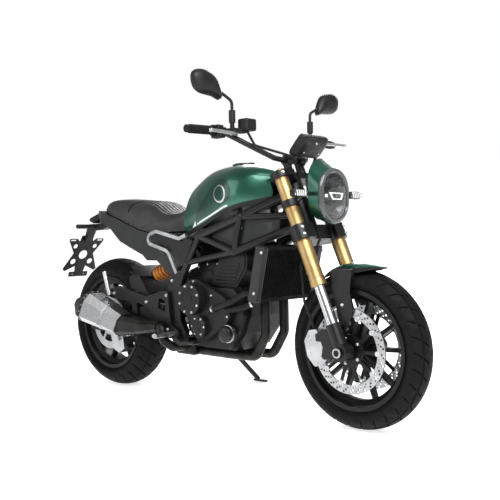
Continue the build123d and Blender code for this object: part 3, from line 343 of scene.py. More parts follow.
# Vinyl with a leather grain: dull black. The grain is about 0.8 mm wide, and drawn a little coarser.
plain("seat_vinyl", "#232325", "#19191b", (0.46, 0.60), size=1.3, depth=0.16, strength=0.6)
# Black lacquer inside the lamp: it mirrors the rim.
plain("gloss_black_bowl", "#101012", "#0b0b0c", (0.16, 0.24), size=4.0, depth=0.01)
# Smoked chrome on the lamp's inner bowls: dark, half mirror.
plain("lamp_chrome", "#3c3e40", "#323436", (0.22, 0.30), metal=0.8, size=5.0, depth=0.02)
# A white acrylic light guide: it shines evenly by itself.
plain("lit_white_acrylic", "#f2f4f5", "#e6e9eb", (0.20, 0.28), size=4.0, depth=0.01,
      Emission_Color=(1, 1, 1, 1), Emission_Strength=0.9)
print("glass, lenses and seat cover")

# %% [markdown]
# The front signals have clear lenses with upright ribs that break the light into stripes. The ribs could be modelled,
# but they are only a few millimetres wide, so a wave across the lens paints them as pale and dark bands in the colour:
# painted highlights where a rib would catch the light, and painted shade between the ribs. Blender's wave repeats about
# three times within its scale, so 36 mm gives bands about 11 mm apart: coarser than the real ones, which are about 3 mm
# apart, so that they show.

# %% Ribbed lens, with painted highlights and shade
# Clear acrylic over a dark housing, with painted highlights where a rib turns to the light and painted shade between
# the ribs.
PAINTED_BAND_WAVE = 36.0
ribbed, tree, bsdf, spot = shader("ribbed_lens_painted_light", Roughness=0.12, IOR=1.49)
ribs = add(tree, "ShaderNodeTexWave", {"Vector": spot, "Scale": per_mm(PAINTED_BAND_WAVE)}, bands_direction="Y")
shade = add(tree, "ShaderNodeValToRGB", {"Fac": ribs.outputs["Fac"]})
first, last = shade.color_ramp.elements
first.position, first.color = 0.3, linear("#3c3e40")
last.position, last.color = 0.6, linear("#d9dcde")
tree.links.new(shade.outputs["Color"], bsdf.inputs["Base Color"])
grain(tree, bsdf, spot, 4.0, 0.01)
finishes["ribbed_lens_painted_light"] = ribbed
print("ribbed lens")

# %% [markdown]
# The solids that stay keep their own meshes and only get a finish. Materials could be dragged on one by one; a
# table of who wears what is easier to read and to change. A solid that a finer piece replaces further down is
# in the table too.

# %% Finishes on the solids
WEARS = {
    "tyre_rubber": "front_tyre rear_tyre",
    "wheel_powder_coat": "front_wheel rear_wheel",
    "ground_disc_steel": "front_disc_rings rear_disc",
    "gold_anodising": "fork_outer_tubes",
    "hard_chrome": "fork_inner_tubes",
    "satin_powder_coat": "fork_bottoms lower_yoke upper_yoke handlebar headlight_bracket main_frame fuel_cap swingarm "
                         "shock_body peg_hangers foot_controls side_stand",
    "satin_aluminium": "front_calipers rear_caliper levers footpegs loop_trims",
    "dark_exhaust_steel": "front_axle rear_axle exhaust_headers silencer_caps",
    "brushed_silencer_steel": "silencer_can",
    "oiled_chain_steel": "chain rear_sprocket",
    "moulded_rubber": "grips coolant_hoses brake_hoses",
    "moulded_black_plastic": "control_clusters lever_perches mirrors turn_signals instrument front_fender tank_base "
                             "plate_bracket rear_hugger side_covers rear_signals tail_light",
    "dark_grey_plastic": "tail_cowl radiator_covers",
    "metallic_green_paint": "headlight_cowl fuel_tank",
    "cast_engine_paint": "crankcase cylinders engine_covers",
    "clear_polycarbonate": "headlight_lens",
    "seat_vinyl": "seat",
    "radiator_black": "radiator",
    "spring_enamel": "shock_spring",
}
for finish, names in WEARS.items():
    for name in names.split():
        mesh = nodes[name].data
        mesh.materials.clear()
        mesh.materials.append(finishes[finish])
bare = sorted(set(nodes) - {n for names in WEARS.values() for n in names.split()})
print("solids with a finish:", len(nodes) - len(bare), "left:", bare)

# %% [markdown]
# The floor is matt studio paper, nearly white. It shines a little by itself, because a paper lit only by soft lamps
# comes out grey, and stronger lamps would wash out the black of the machine.

# %% Floor finish
FLOOR_GLOW = 0.68
floor_paint, tree, bsdf, spot = shader(
    "pale_studio_floor", Roughness=0.7, Emission_Color=(1, 1, 1, 1), Emission_Strength=FLOOR_GLOW)
vary(tree, bsdf, spot, linear("#f6f6f5"), linear("#f3f3f2"), 900)
floor_mesh.materials.append(floor_paint)
print("floor finish:", floor_paint.name)

# %% [markdown]
# Small parts of a motorcycle are turned, pressed or moulded, so most are rings of points with faces between them.
# They could be built with Blender's own primitives and modifiers, but rings show their sizes in the script. `skin`
# puts faces between rings, `turned` spins a profile about an axis, and `keep` merges the points, turns the faces
# outward, puts the piece in its place and mounts it. Pieces are drawn upright, in millimetres.

# %% Drawing helpers
IN_SCENE = LEANED @ Matrix.Scale(0.001, 4)
TURN = LEANED.to_3x3()
SIDES = ((-1, "right"), (1, "left"))


def skin(bm, rings, closed=True, ends=False):
    """Faces between rings of points, with flat ends if asked."""
    rows = [[bm.verts.new(p) for p in ring] for ring in rings]
    for a, b in zip(rows, rows[1:]):
        for i in range(len(a) if closed else len(a) - 1):
            j = (i + 1) % len(a)
            bm.faces.new((a[i], a[j], b[j], b[i]))
    if ends:
        bm.faces.new(list(reversed(rows[0])))
        bm.faces.new(rows[-1])


def turned(bm, profile, origin, axis=(0, 1, 0), steps=40):
    """A shape turned about an axis from (radius, height) points; a radius of 0 closes a pole."""
    axis = Vector(axis).normalized()
    side = axis.orthogonal().normalized()
    other = axis.cross(side)
    angles = [2 * math.pi * k / steps for k in range(steps)]
    skin(bm, [[Vector(origin) + axis * height + (side * math.cos(a) + other * math.sin(a)) * radius for a in angles]
              for radius, height in profile])


def settle(name, mesh, finish, body, sharp=35):
    """Puts a mesh drawn in mm in its place, smooth but for sharp edges, and mounts it on its body."""
    mesh.name = name
    mesh.transform(IN_SCENE)
    mesh.shade_smooth()
    mesh.set_sharp_from_angle(angle=math.radians(sharp))
    mesh.materials.clear()
    mesh.materials.append(finishes[finish])
    piece = bpy.data.objects.new(name, mesh)
    bpy.context.scene.collection.objects.link(piece)
    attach(piece, body)
    return piece


def to_mesh(bm, name):
    """A mesh with its points merged and its faces turned outward."""
    bmesh.ops.remove_doubles(bm, verts=bm.verts, dist=0.01)
    bmesh.ops.recalc_face_normals(bm, faces=bm.faces)
    mesh = bpy.data.meshes.new(name)
    bm.to_mesh(mesh)
    bm.free()
    return mesh


def keep(name, bm, finish, body="chassis", sharp=35):
    """A drawn shape as a finished piece on its body."""
    return settle(name, to_mesh(bm, name), finish, body, sharp)


print("drawing helpers ready")

# %% [markdown]
# Bolts and painted panels have to sit on surfaces that curve. Their places could be typed in, but a ray shot at the
# solid finds the surface and the way that it faces. `smooth_loop` draws a soft outline through a few points.

# %% Rays and outlines
surfaces = {}


def ray_tree(mesh):
    """A search tree of a mesh's faces, for rays."""
    return BVHTree.FromPolygons([v.co.copy() for v in mesh.vertices], [tuple(p.vertices) for p in mesh.polygons])


def hit(node, start, aim):
    """Where a ray in the upright drawing meets a solid, and the direction that the surface faces there."""
    if node not in surfaces:
        surfaces[node] = ray_tree(nodes[node].data)
    spot, normal, *_ = surfaces[node].ray_cast(IN_SCENE @ Vector(start), TURN @ Vector(aim))
    if spot is None:
        raise ValueError(f"nothing of {node} lies from {tuple(start)} along {tuple(aim)}")
    normal = TURN.inverted() @ normal
    return IN_SCENE.inverted() @ spot, normal if normal.dot(Vector(aim)) < 0 else -normal


def smooth_loop(points, between=6):
    """A smooth closed line through points."""
    pts, line = [Vector(p) for p in points], []
    for i, b in enumerate(pts):
        a, c, d = pts[i - 1], pts[(i + 1) % len(pts)], pts[(i + 2) % len(pts)]
        for k in range(between):
            t = k / between
            line.append(0.5 * (2 * b + (c - a) * t + (2 * a - 5 * b + 4 * c - d) * t * t
                               + (3 * b - a - 3 * c + d) * t ** 3))
    return line


print("rays and outlines ready")

# %% [markdown]
# A machine repeats: blocks of tread, holes, links, fins. Array modifiers could copy them one way each. Geometry Nodes
# do it by a rule with named inputs, so one tree serves many pieces. `new_tree` starts a tree, `close_tree` ends it in
# real faces with a finish, and `grow` runs it on a mesh, keeps the result and takes the modifier off again.

# %% Node tree helpers
def new_tree(name, **sockets):
    """An empty tree with named inputs, and its input sockets."""
    tree = bpy.data.node_groups.new(name, "GeometryNodeTree")
    tree.interface.new_socket("Geometry", in_out="INPUT", socket_type="NodeSocketGeometry")
    for title, kind in sockets.items():
        tree.interface.new_socket(title, in_out="INPUT", socket_type="NodeSocket" + kind)
    tree.interface.new_socket("Geometry", in_out="OUTPUT", socket_type="NodeSocketGeometry")
    return tree, tree.nodes.new("NodeGroupInput").outputs


def close_tree(tree, given, geometry, merge=0.02):
    """Realises the copies, joins touching ones and sets the finish."""
    solid = add(tree, "GeometryNodeRealizeInstances", {"Geometry": geometry})
    joined = add(tree, "GeometryNodeMergeByDistance", {"Geometry": solid.outputs[0], "Distance": merge})
    dressed = add(tree, "GeometryNodeSetMaterial", {"Geometry": joined.outputs[0], "Material": given["Finish"]})
    add(tree, "NodeGroupOutput", {"Geometry": dressed.outputs[0]})


def grow(name, tree, mesh, body, seat=Matrix(), **values):
    """Runs a tree on a mesh and mounts what it made."""
    carrier = bpy.data.objects.new(name, mesh)
    bpy.context.scene.collection.objects.link(carrier)
    modifier = carrier.modifiers.new("grown", "NODES")
    modifier.node_group = tree
    for item in tree.interface.items_tree:
        if item.in_out == "INPUT" and item.name in values:
            modifier[item.identifier] = values[item.name]
    made = bpy.data.meshes.new_from_object(carrier.evaluated_get(bpy.context.evaluated_depsgraph_get()))
    carrier.modifiers.remove(modifier)
    bpy.data.objects.remove(carrier)
    made.transform(seat)
    return settle(name, made, values["Finish"].name, body)


print("node tree helpers ready")

# %% [markdown]
# Wheels carry things in a ring. This tree puts Count copies of one slice around the wheel's axis. Spin would do it
# too, but the tree can join each slice to the next, and the same tree serves tyres, discs and bobbins.

# %% Ring tree
ring_tree, given = new_tree("ring_of_segments", Count="Int", Finish="Material")
spokes = add(ring_tree, "GeometryNodeMeshLine", {"Count": given["Count"], "Offset": (0, 0, 0)})
number = add(ring_tree, "GeometryNodeInputIndex")
slice_angle = add(ring_tree, "ShaderNodeMath", {0: -2 * math.pi, 1: given["Count"]}, operation="DIVIDE")
turn_angle = add(ring_tree, "ShaderNodeMath",
                 {0: number.outputs[0], 1: slice_angle.outputs[0]}, operation="MULTIPLY")
euler = add(ring_tree, "ShaderNodeCombineXYZ", {"Y": turn_angle.outputs[0]})
turn = add(ring_tree, "FunctionNodeEulerToRotation", {"Euler": euler.outputs[0]})
copies = add(ring_tree, "GeometryNodeInstanceOnPoints",
             {"Points": spokes.outputs[0], "Instance": given["Geometry"], "Rotation": turn.outputs[0]})
close_tree(ring_tree, given, copies.outputs[0])
print("ring tree:", len(ring_tree.nodes), "nodes")

# %% [markdown]
# The tyres carry blocks cut by slanting grooves, and one groove runs around each side. The tread could be a bump in
# the material, but its edge shows against the floor. So it is real: one pitch of tread is a grid whose lines follow
# the grooves, and lowering those lines gives clean walls. First comes the section, from the middle to the rim.

# %% Section of a tyre
FRONT_AXLE, REAR_AXLE = Vector((1460, 0, 300)), Vector((0, 0, REAR_RADIUS))
RIM_RADIUS = 216.3


def tyre_rows(radius, width, crown, seat):
    """Half of the tyre's section from the middle outward: radius, y, share of tread, row kind."""
    half, edge = width / 2, 0.46 * width
    shoulder = radius - crown + math.sqrt(crown ** 2 - edge ** 2)
    bulge = shoulder - 0.4 * (shoulder - RIM_RADIUS)
    rows = []
    for t, kind in ((0, "top"), (0.09, "top"), (0.13, "cut"), (0.30, "cut"), (0.47, "cut"), (0.51, "ring"),
                    (0.58, "ring"), (0.62, "cut"), (0.80, "cut"), (0.97, "cut"), (1, "cut")):
        rows.append((radius - crown + math.sqrt(crown ** 2 - (t * edge) ** 2), t * edge, t, kind))
    a, b, c = (shoulder, edge), (bulge, half), (RIM_RADIUS + 13, seat)
    for t, kind in ((0.10, "side"), (0.20, "fade"), (0.30, "wall"), (0.42, "wall"), (0.55, "wall"), (0.68, "wall"),
                    (0.69, "rib"), (0.73, "rib"), (0.74, "wall"), (0.88, "wall"), (1, "wall")):
        r, y = [a[i] * (1 - t) * (1 - 2 * t) + 4 * b[i] * t * (1 - t) + c[i] * t * (2 * t - 1) for i in (0, 1)]
        rows.append((r, y, 1, kind))
    inner = ((RIM_RADIUS, seat), (RIM_RADIUS, seat - 10), (bulge, half - 10), (shoulder - 11, edge - 9),
             (radius - 12, 0))
    rows += [(r, y, 1, "wall") for r, y in inner]
    return rows


# Radius, width, radius of the crown and half width at the rim, in mm.
FRONT_TYRE, REAR_TYRE = (300, 120, 68, 45), (REAR_RADIUS, 178, 102, 69)
print("rows in half a section:", len(tyre_rows(*FRONT_TYRE)))

# %% [markdown]
# The grid of one pitch follows that section and leans forward from the middle to the edge, which slants the grooves.
# The left and right halves are half a pitch apart, as on a road tyre, so that the tread runs quietly. The ring tree
# then repeats the pitch around the wheel.

# %% Tread
PITCHES, GROOVE, LEAD = 30, 6.5, 0.75


def tread_pitch(radius, width, crown, seat):
    """One pitch of a tyre with its tread."""
    rows = tyre_rows(radius, width, crown, seat)
    ring = [(row, 1) for row in rows] + [(row, -1) for row in reversed(rows[1:-1])]
    drop = {"top": 0, "cut": GROOVE, "side": GROOVE * 0.8, "fade": GROOVE * 0.3}
    columns = []
    for u in (0, 0.03, 0.06, 0.25, 0.44, 0.47, 0.53, 0.56, 0.75, 0.94, 0.97, 1):
        column = []
        for (r, y, t, kind), side in ring:
            low = u in (0, 0.03, 0.97, 1) if side > 0 else u in (0.47, 0.53)
            sunk = GROOVE * 0.8 if kind == "ring" else drop.get(kind, 0) if low else 0
            r, y = (r, y - sunk) if kind in ("side", "fade") else (r - sunk, y + (1.2 if kind == "rib" else 0))
            a = 2 * math.pi / PITCHES * (u + LEAD * t)
            column.append((r * math.cos(a), y * side, r * math.sin(a)))
        columns.append(column)
    bm = bmesh.new()
    skin(bm, columns)
    return to_mesh(bm, "tread_pitch")


for name, axle, body, sizes in (
    ("front_tyre", FRONT_AXLE, "front_wheel", FRONT_TYRE),
    ("rear_tyre", REAR_AXLE, "rear_wheel", REAR_TYRE),
):
    tyre = grow(name + "_tread", ring_tree, tread_pitch(*sizes), body, Matrix.Translation(axle),
                Count=PITCHES, Finish=finishes["tyre_rubber"])
    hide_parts(name)
    print(tyre.name, "faces:", len(tyre.data.polygons))

# %% [markdown]
# The brake discs float on round bobbins and are drilled in slanting rows of three, which lets water and dust out. The
# holes could be cut with booleans, but those leave ragged faces. A slice is filled between its outline and its
# holes instead, given its thickness and repeated around the wheel.

# %% A drilled plate
def pierced(loops, y0, y1, open_walls):
    """A plate from y0 to y1 inside the first (x, z) loop and outside the others, with some walls left open."""
    bm = bmesh.new()
    rims = [[bm.verts.new((x, y0, z)) for x, z in loop] for loop in loops]
    edges = [bm.edges.new((rim[i - 1], rim[i])) for rim in rims for i in range(len(rim))]
    filled = bmesh.ops.triangle_fill(bm, use_beauty=True, edges=edges)["geom"]
    far = {v: bm.verts.new((v.co.x, y1, v.co.z)) for rim in rims for v in rim}
    for face in [f for f in filled if isinstance(f, bmesh.types.BMFace)]:
        bm.faces.new([far[v] for v in reversed(face.verts)])
    for k, rim in enumerate(rims):
        for i in range(len(rim)):
            if k or i not in open_walls:
                bm.faces.new((rim[i - 1], rim[i], far[rim[i]], far[rim[i - 1]]))
    return to_mesh(bm, "slice")


def polar(radius, degrees):
    """A point at an angle, in the side view."""
    return radius * math.cos(math.radians(degrees)), radius * math.sin(math.radians(degrees))


def round_hole(x, z, radius, steps=12):
    """The outline of a hole."""
    angles = [2 * math.pi * k / steps for k in range(steps)]
    return [(x + radius * math.cos(a), z + radius * math.sin(a)) for a in angles]


print("plate helpers ready")

# %% [markdown]
# Each slice has three slanting rows of holes and, in the middle of its inner edge, the round notch where a bobbin
# sits. The holes grow outward, so that the steel between them stays about equally wide.

# %% Drilled discs
DISC_OUT, DISC_IN, DISC_Y, DISC_THICK, SLICES = 160, 126, 67.5, 5, 10
NOTCH = 8.3
HOLES = ((0.78, 4.6), (0.53, 4.4), (0.28, 3.3))


def disc_slice(y):
    """One slice of a disc with a bobbin's notch cut in the middle of its inner edge."""
    half = 180 / SLICES
    rim = [polar(DISC_OUT, -half + 2 * half * k / 12) for k in range(13)]
    notch = math.degrees(NOTCH / DISC_IN)
    back = [polar(DISC_IN, half + (notch - half) * k / 4) for k in range(4)]
    angles = [math.radians(a) for a in range(0, 181, 20)]
    bite = [(DISC_IN + NOTCH * math.sin(a), NOTCH * math.cos(a)) for a in angles]
    ahead = [polar(DISC_IN, -notch + (notch - half) * k / 4) for k in range(1, 5)]
    holes = []
    for start in (-16, -4, 8):
        for k, (share, wide) in enumerate(HOLES):
            x, z = polar(DISC_IN + share * (DISC_OUT - DISC_IN), start + 4 * k * 144 / DISC_OUT)
            holes.append(round_hole(x, z, wide))
    return pierced([rim + back + bite + ahead] + holes, y - DISC_THICK / 2, y + DISC_THICK / 2, (0, 13))


for side, where in SIDES:
    grow("front_disc_" + where, ring_tree, disc_slice(DISC_Y * side), "front_wheel",
                      Matrix.Translation(FRONT_AXLE), Count=SLICES, Finish=finishes["ground_disc_steel"])
    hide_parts("front_disc_rings")

# %% [markdown]
# Bobbins are the turned aluminium buttons that carry each disc on its hub and let it grow when it is hot. One is
# spun from a profile, as on a lathe, and the ring tree puts ten of them in the notches.

# %% Bobbins on the front discs
BOBBIN = [(0, 3.4), (5.5, 3.4), (6.5, 4.4), (9.6, 4.4), (10.4, 3.6), (10.4, 2.6), (8.1, 2.4), (8.1, -3.2), (0, -3.2)]
for side, where in SIDES:
    bm = bmesh.new()
    turned(bm, BOBBIN, (DISC_IN, DISC_Y * side, 0), (0, side, 0), 20)
    grow("disc_bobbins_" + where, ring_tree, to_mesh(bm, "bobbin"), "front_wheel", Matrix.Translation(FRONT_AXLE),
         Count=SLICES, Finish=finishes["satin_aluminium"])
print("bobbins on both discs")

# %% [markdown]
# Bolts hold the whole machine together, and their bright heads are what makes its black parts readable. Each is a
# small flange with a six-sided head. Copies could be set by hand; the tree puts one on every point of a mesh, turned
# along the point's own direction and scaled by its own size.

# %% Bolt tree
bolt_tree, given = new_tree("bolts_on_points", Finish="Material")
SIX_SIDED = {"Vertices": 6, "Radius Bottom": 0.72}
flange = add(bolt_tree, "GeometryNodeMeshCone",
             {"Vertices": 18, "Radius Bottom": 1.0, "Radius Top": 0.9, "Depth": 0.3})
head = add(bolt_tree, "GeometryNodeMeshCone", {**SIX_SIDED, "Radius Top": 0.72, "Depth": 0.75})
crown = add(bolt_tree, "GeometryNodeMeshCone", {**SIX_SIDED, "Radius Top": 0.58, "Depth": 0.12})
raised = add(bolt_tree, "GeometryNodeTransform", {"Geometry": crown.outputs[0], "Translation": (0, 0, 0.75)})
bolt = add(bolt_tree, "GeometryNodeJoinGeometry")
for shape in (flange, head, raised):
    bolt_tree.links.new(shape.outputs[0], bolt.inputs[0])
axis = add(bolt_tree, "GeometryNodeInputNamedAttribute", {"Name": "axis"}, data_type="FLOAT_VECTOR")
size = add(bolt_tree, "GeometryNodeInputNamedAttribute", {"Name": "size"}, data_type="FLOAT")
turn = add(bolt_tree, "FunctionNodeAlignRotationToVector", {"Vector": axis.outputs["Attribute"]}, axis="Z")
heads = add(bolt_tree, "GeometryNodeInstanceOnPoints", {
    "Points": given["Geometry"], "Instance": bolt.outputs[0],
    "Rotation": turn.outputs[0], "Scale": size.outputs["Attribute"],
})
close_tree(bolt_tree, given, heads.outputs[0], 0.001)


def bolts(name, spots, finish, body="chassis"):
    """Bolts at (point, direction, size) rows; the size is the flange's radius in mm."""
    mesh = bpy.data.meshes.new(name)
    mesh.from_pydata([tuple(point) for point, _, _ in spots], [], [])
    for attribute, kind in (("axis", "FLOAT_VECTOR"), ("size", "FLOAT")):
        mesh.attributes.new(attribute, kind, "POINT")
    for i, (_, direction, size) in enumerate(spots):
        mesh.attributes["axis"].data[i].vector = direction
        mesh.attributes["size"].data[i].value = size
    made = grow(name, bolt_tree, mesh, body, Finish=finishes[finish])
    print(name, len(spots), "heads, mm:", [round(d * 1000) for d in made.dimensions])


SUNK = 0.2


def on(node, start, aim, size):
    """A bolt where a ray meets a solid, square to its surface and sunk a little, so that no gap shows."""
    point, normal = hit(node, start, aim)
    return point - normal * SUNK, normal, size


print("bolt tree:", len(bolt_tree.nodes), "nodes")

# %% [markdown]
# Rings of small bolts hold the engine's covers, and a few larger ones hold frame, hangers and radiator covers. Heights
# could be typed in, but then heads sink or float. Each bolt is a ray shot from the side, so it lies square on the
# surface that it meets.

# %% Bolts on engine, frame and hangers
AWAY = 400
CLUTCH, PUMP, GENERATOR = (709, 466), (751, 352), (815, 400)


def ring_of(centre, radius, angles):
    """Places (x, z) on a circle in the side view."""
    return [(centre[0] + x, centre[1] + z) for x, z in (polar(radius, angle) for angle in angles)]


def side_bolts(node, places, side, size):
    """Bolts at (x, z) places on one side of a solid."""
    return [on(node, (x, AWAY * side, z), (0, -side, 0), size) for x, z in places]


COVER_EDGE = ((648, 420), (640, 470), (704, 540), (812, 484), (900, 450), (905, 400), (800, 300), (700, 320))
spots = side_bolts("engine_covers", ring_of(CLUTCH, 58, range(20, 380, 45)), -1, 6.0)
spots += side_bolts("engine_covers", ring_of(PUMP, 36, range(0, 360, 60)), -1, 5.0)
spots += side_bolts("engine_covers", ring_of(GENERATOR, 60, range(0, 360, 60)), 1, 6.0)
spots += side_bolts("engine_covers", COVER_EDGE, -1, 5.0)
for side in (-1, 1):
    spots += side_bolts("main_frame", ((560, 540), (545, 330), (600, 275)), side, 8.0)
    spots += side_bolts("peg_hangers", ((540, 475), (545, 325), (400, 440), (160, 470)), side, 8.0)
    spots += side_bolts("radiator_covers", ((1136, 665), (1092, 505)), side, 6.5)
bolts("engine_and_frame_bolts", spots, "satin_aluminium")

# %% [markdown]
# In front, bolts clamp the fork in its yokes and hold fender and calipers; others hold the front hub and the rear
# sprocket. The fork leans back by its rake, so level coordinates would be awkward. `fork` names a point by its way
# up the fork, in front of it and to the left.

# %% Bolts on the fork, fender and wheels
RAKE, FORK_HALF, AHEAD = math.radians(23.5), 108, 300
UP = Vector((-math.sin(RAKE), 0, math.cos(RAKE)))
FORE = Vector((math.cos(RAKE), 0, math.sin(RAKE)))


def fork(s, t=0.0, y=0.0):
    """A point s up the fork from the front axle, t in front of it and y to the left."""
    return FRONT_AXLE + UP * s + FORE * t + Vector((0, y, 0))


spots = []
for side in (-1, 1):
    spots += side_bolts("front_fender", ((1440, 470), (1445, 405)), side, 6.5)
    lugs = [fork(s, t) for s, t in ((96, -128), (4, -132), (50, -150))]
    spots += side_bolts("front_calipers", [(lug.x, lug.z) for lug in lugs], side, 6.5)
    for node, s in (("lower_yoke", 462), ("lower_yoke", 490), ("upper_yoke", 721)):
        spots.append(on(node, fork(s, AHEAD, (FORK_HALF + 20) * side), -FORE, 6.0))
bolts("fork_bolts", spots, "satin_aluminium", "steering")
hub_ring = ring_of(FRONT_AXLE.xz, 48, range(36, 396, 72))
spots = side_bolts("front_wheel", hub_ring, -1, 7.0) + side_bolts("front_wheel", hub_ring, 1, 7.0)
bolts("front_hub_bolts", spots, "satin_aluminium", "front_wheel")
spots = side_bolts("rear_sprocket", ring_of(REAR_AXLE.xz, 56, range(0, 360, 60)), 1, 7.0)
bolts("sprocket_bolts", spots, "satin_aluminium", "rear_wheel")

# %% [markdown]
# Links and stitches follow a line. An Array with a Curve modifier would bend them; this tree keeps them rigid. It
# turns a line of points into a curve, puts a piece at even steps, turns it along the line and can make every second
# piece narrower.

# %% Path tree
path_tree, given = new_tree("links_along_path", Path="Object", Count="Int", Narrow="Float", Finish="Material")
path = add(path_tree, "GeometryNodeObjectInfo", {"Object": given["Path"]})
curve = add(path_tree, "GeometryNodeMeshToCurve", {"Mesh": path.outputs["Geometry"]})
places = add(path_tree, "GeometryNodeCurveToPoints",
             {"Curve": curve.outputs[0], "Count": given["Count"]}, mode="COUNT")
turn = add(path_tree, "FunctionNodeAlignRotationToVector", {"Vector": places.outputs["Tangent"]}, axis="X")
number = add(path_tree, "GeometryNodeInputIndex")
odd = add(path_tree, "ShaderNodeMath", {0: number.outputs[0], 1: 2.0}, operation="MODULO")
slim = add(path_tree, "ShaderNodeMapRange", {"Value": odd.outputs[0], "To Min": 1.0, "To Max": given["Narrow"]})
scale = add(path_tree, "ShaderNodeCombineXYZ", {"X": 1.0, "Y": slim.outputs[0], "Z": 1.0})
links = add(path_tree, "GeometryNodeInstanceOnPoints", {
    "Points": places.outputs[0], "Instance": given["Geometry"],
    "Rotation": turn.outputs[0], "Scale": scale.outputs[0],
})
close_tree(path_tree, given, links.outputs[0], 0.001)


def path_object(name, points, closed=True):
    """A line of points that a tree reads; it is removed after use."""
    count = len(points)
    edges = [(i, (i + 1) % count) for i in range(count if closed else count - 1)]
    mesh = bpy.data.meshes.new(name)
    mesh.from_pydata([tuple(p) for p in points], edges, [])
    line = bpy.data.objects.new(name, mesh)
    bpy.context.scene.collection.objects.link(line)
    return line


print("path tree:", len(path_tree.nodes), "nodes")

# %% [markdown]
# The chain has 118 links of 15.875 mm. Waisted plates sit on pins, and every second link is narrower, because inner
# plates run between outer ones. A flat band with a picture of links would pass from afar, but its edge would be
# smooth, so the links are real and go around both sprockets.

# %% Chain
HALF_PITCH, PLATE_END, LINKS, CHAIN_Y = 7.94, 6.4, 118, 106
REAR_SPROCKET, COUNTERSHAFT, FRONT_SPROCKET = 123.5, (668, 402), 46.5


def belt_line(a, ra, b, rb, y, steps=40):
    """The line around two circles in the side view."""
    gap = math.hypot(b[0] - a[0], b[1] - a[1])
    tilt, lean = math.atan2(b[1] - a[1], b[0] - a[0]), math.acos((ra - rb) / gap)
    line = []
    arcs = ((a, ra, tilt + lean, tilt - lean + 2 * math.pi), (b, rb, tilt - lean, tilt + lean))
    for centre, radius, start, end in arcs:
        for k in range(steps + 1):
            angle = start + (end - start) * k / steps
            line.append((centre[0] + radius * math.cos(angle), y, centre[1] + radius * math.sin(angle)))
    return line


def chain_link():
    """Two waisted side plates and the two pins that join them."""
    bm = bmesh.new()
    outline = []
    for end in (1, -1):
        for k in range(7):
            a = math.radians(-75 + 25 * k)
            outline.append((end * (HALF_PITCH + PLATE_END * math.cos(a)), end * PLATE_END * math.sin(a)))
        outline.append((0, end * 4.6))
    for y in (-7.2, 5.4):
        skin(bm, [[(x, y, z) for x, z in outline], [(x, y + 1.8, z) for x, z in outline]], ends=True)
    for x in (-HALF_PITCH, HALF_PITCH):
        turned(bm, [(0, -7.8), (2.4, -7.8), (2.6, -7.2), (2.6, 7.2), (2.4, 7.8), (0, 7.8)], (x, 0, 0), steps=8)
    return to_mesh(bm, "chain_link")


around = belt_line(REAR_AXLE.xz, REAR_SPROCKET, COUNTERSHAFT, FRONT_SPROCKET, CHAIN_Y)
line = path_object("chain_path", around)
chain = grow("chain_links", path_tree, chain_link(), "chassis", Path=line, Count=LINKS, Narrow=0.7,
             Finish=finishes["oiled_chain_steel"])
bpy.data.objects.remove(line)
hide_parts("chain")
print("chain faces:", len(chain.data.polygons))

# %% [markdown]
# The headlight is a tall oval: a thick smoky rim around a black bowl, under a bulged clear glass. The rim could be a
# bent tube, but its section is not round. So each piece is a stack of the same oval at different insets and depths.

# %% Headlight
LAMP = fork(574, 130)
LAMP_HALF, LAMP_TALL = 90.0, 108.0


def oval(x, inset, steps=64):
    """A ring of the lamp's upright oval, x in front of the lamp's centre."""
    radius, straight, ring = LAMP_HALF - inset, LAMP_TALL - LAMP_HALF, []
    for k in range(steps):
        a = 2 * math.pi * k / steps
        z = radius * math.sin(a) + (straight if math.sin(a) >= 0 else -straight)
        ring.append((LAMP.x + x, radius * math.cos(a), LAMP.z + z))
    return ring


def oval_piece(name, finish, rows):
    """A piece of the lamp from (x, inset) rows of the oval."""
    bm = bmesh.new()
    skin(bm, [oval(x, inset) for x, inset in rows])
    return keep(name, bm, finish, "steering")


rim = oval_piece("headlight_rim", "clear_grey_rim", (
    (-7.4, 1.2), (0, 0.4), (6, 4), (9, 10), (9, 15), (5, 20), (-4, 22), (-7.4, 22), (-7.4, 1.2)))
bowl = oval_piece("headlight_bowl", "gloss_black_bowl", (
    (-5, 20.5), (-30, 24), (-34, 40), (-34, 89.9), (-36, 89.9), (-36, 38), (-31, 21), (-5, 18.5), (-5, 20.5)))
glass = oval_piece("headlight_glass", "clear_polycarbonate", (
    (4.5, 19.6), (9, 34), (11.5, 60), (12, 89.9), (9.5, 89.9), (9, 60), (6.5, 34), (2, 19.6), (4.5, 19.6)))
for piece in (rim, bowl, glass):
    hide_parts("headlight_lens")
print("headlight rim, bowl and glass")

# %% [markdown]
# Inside, two dark half bowls lie above and below a dark bar, and the bar carries the bright frame of the daytime
# light. A plain reflector would be simpler, but these shapes are what makes the lamp's face. The frame is a square
# tube between two outlines, so that its light has an inner and an outer edge.

# %% Lamp bowls, bar and lit frame
BOWL_HALF, BOWL_UP = 60, 20


def d_ring(x, inset, sign, steps=32):
    """A half oval above (sign 1) or below (sign -1) the bar."""
    radius, ring = BOWL_HALF - inset, []
    for k in range(steps + 1):
        a = math.pi * k / steps
        z = BOWL_UP + inset * 0.5 + 1.02 * radius * math.sin(a)
        ring.append((LAMP.x + x, radius * math.cos(a), LAMP.z + sign * z))
    return ring


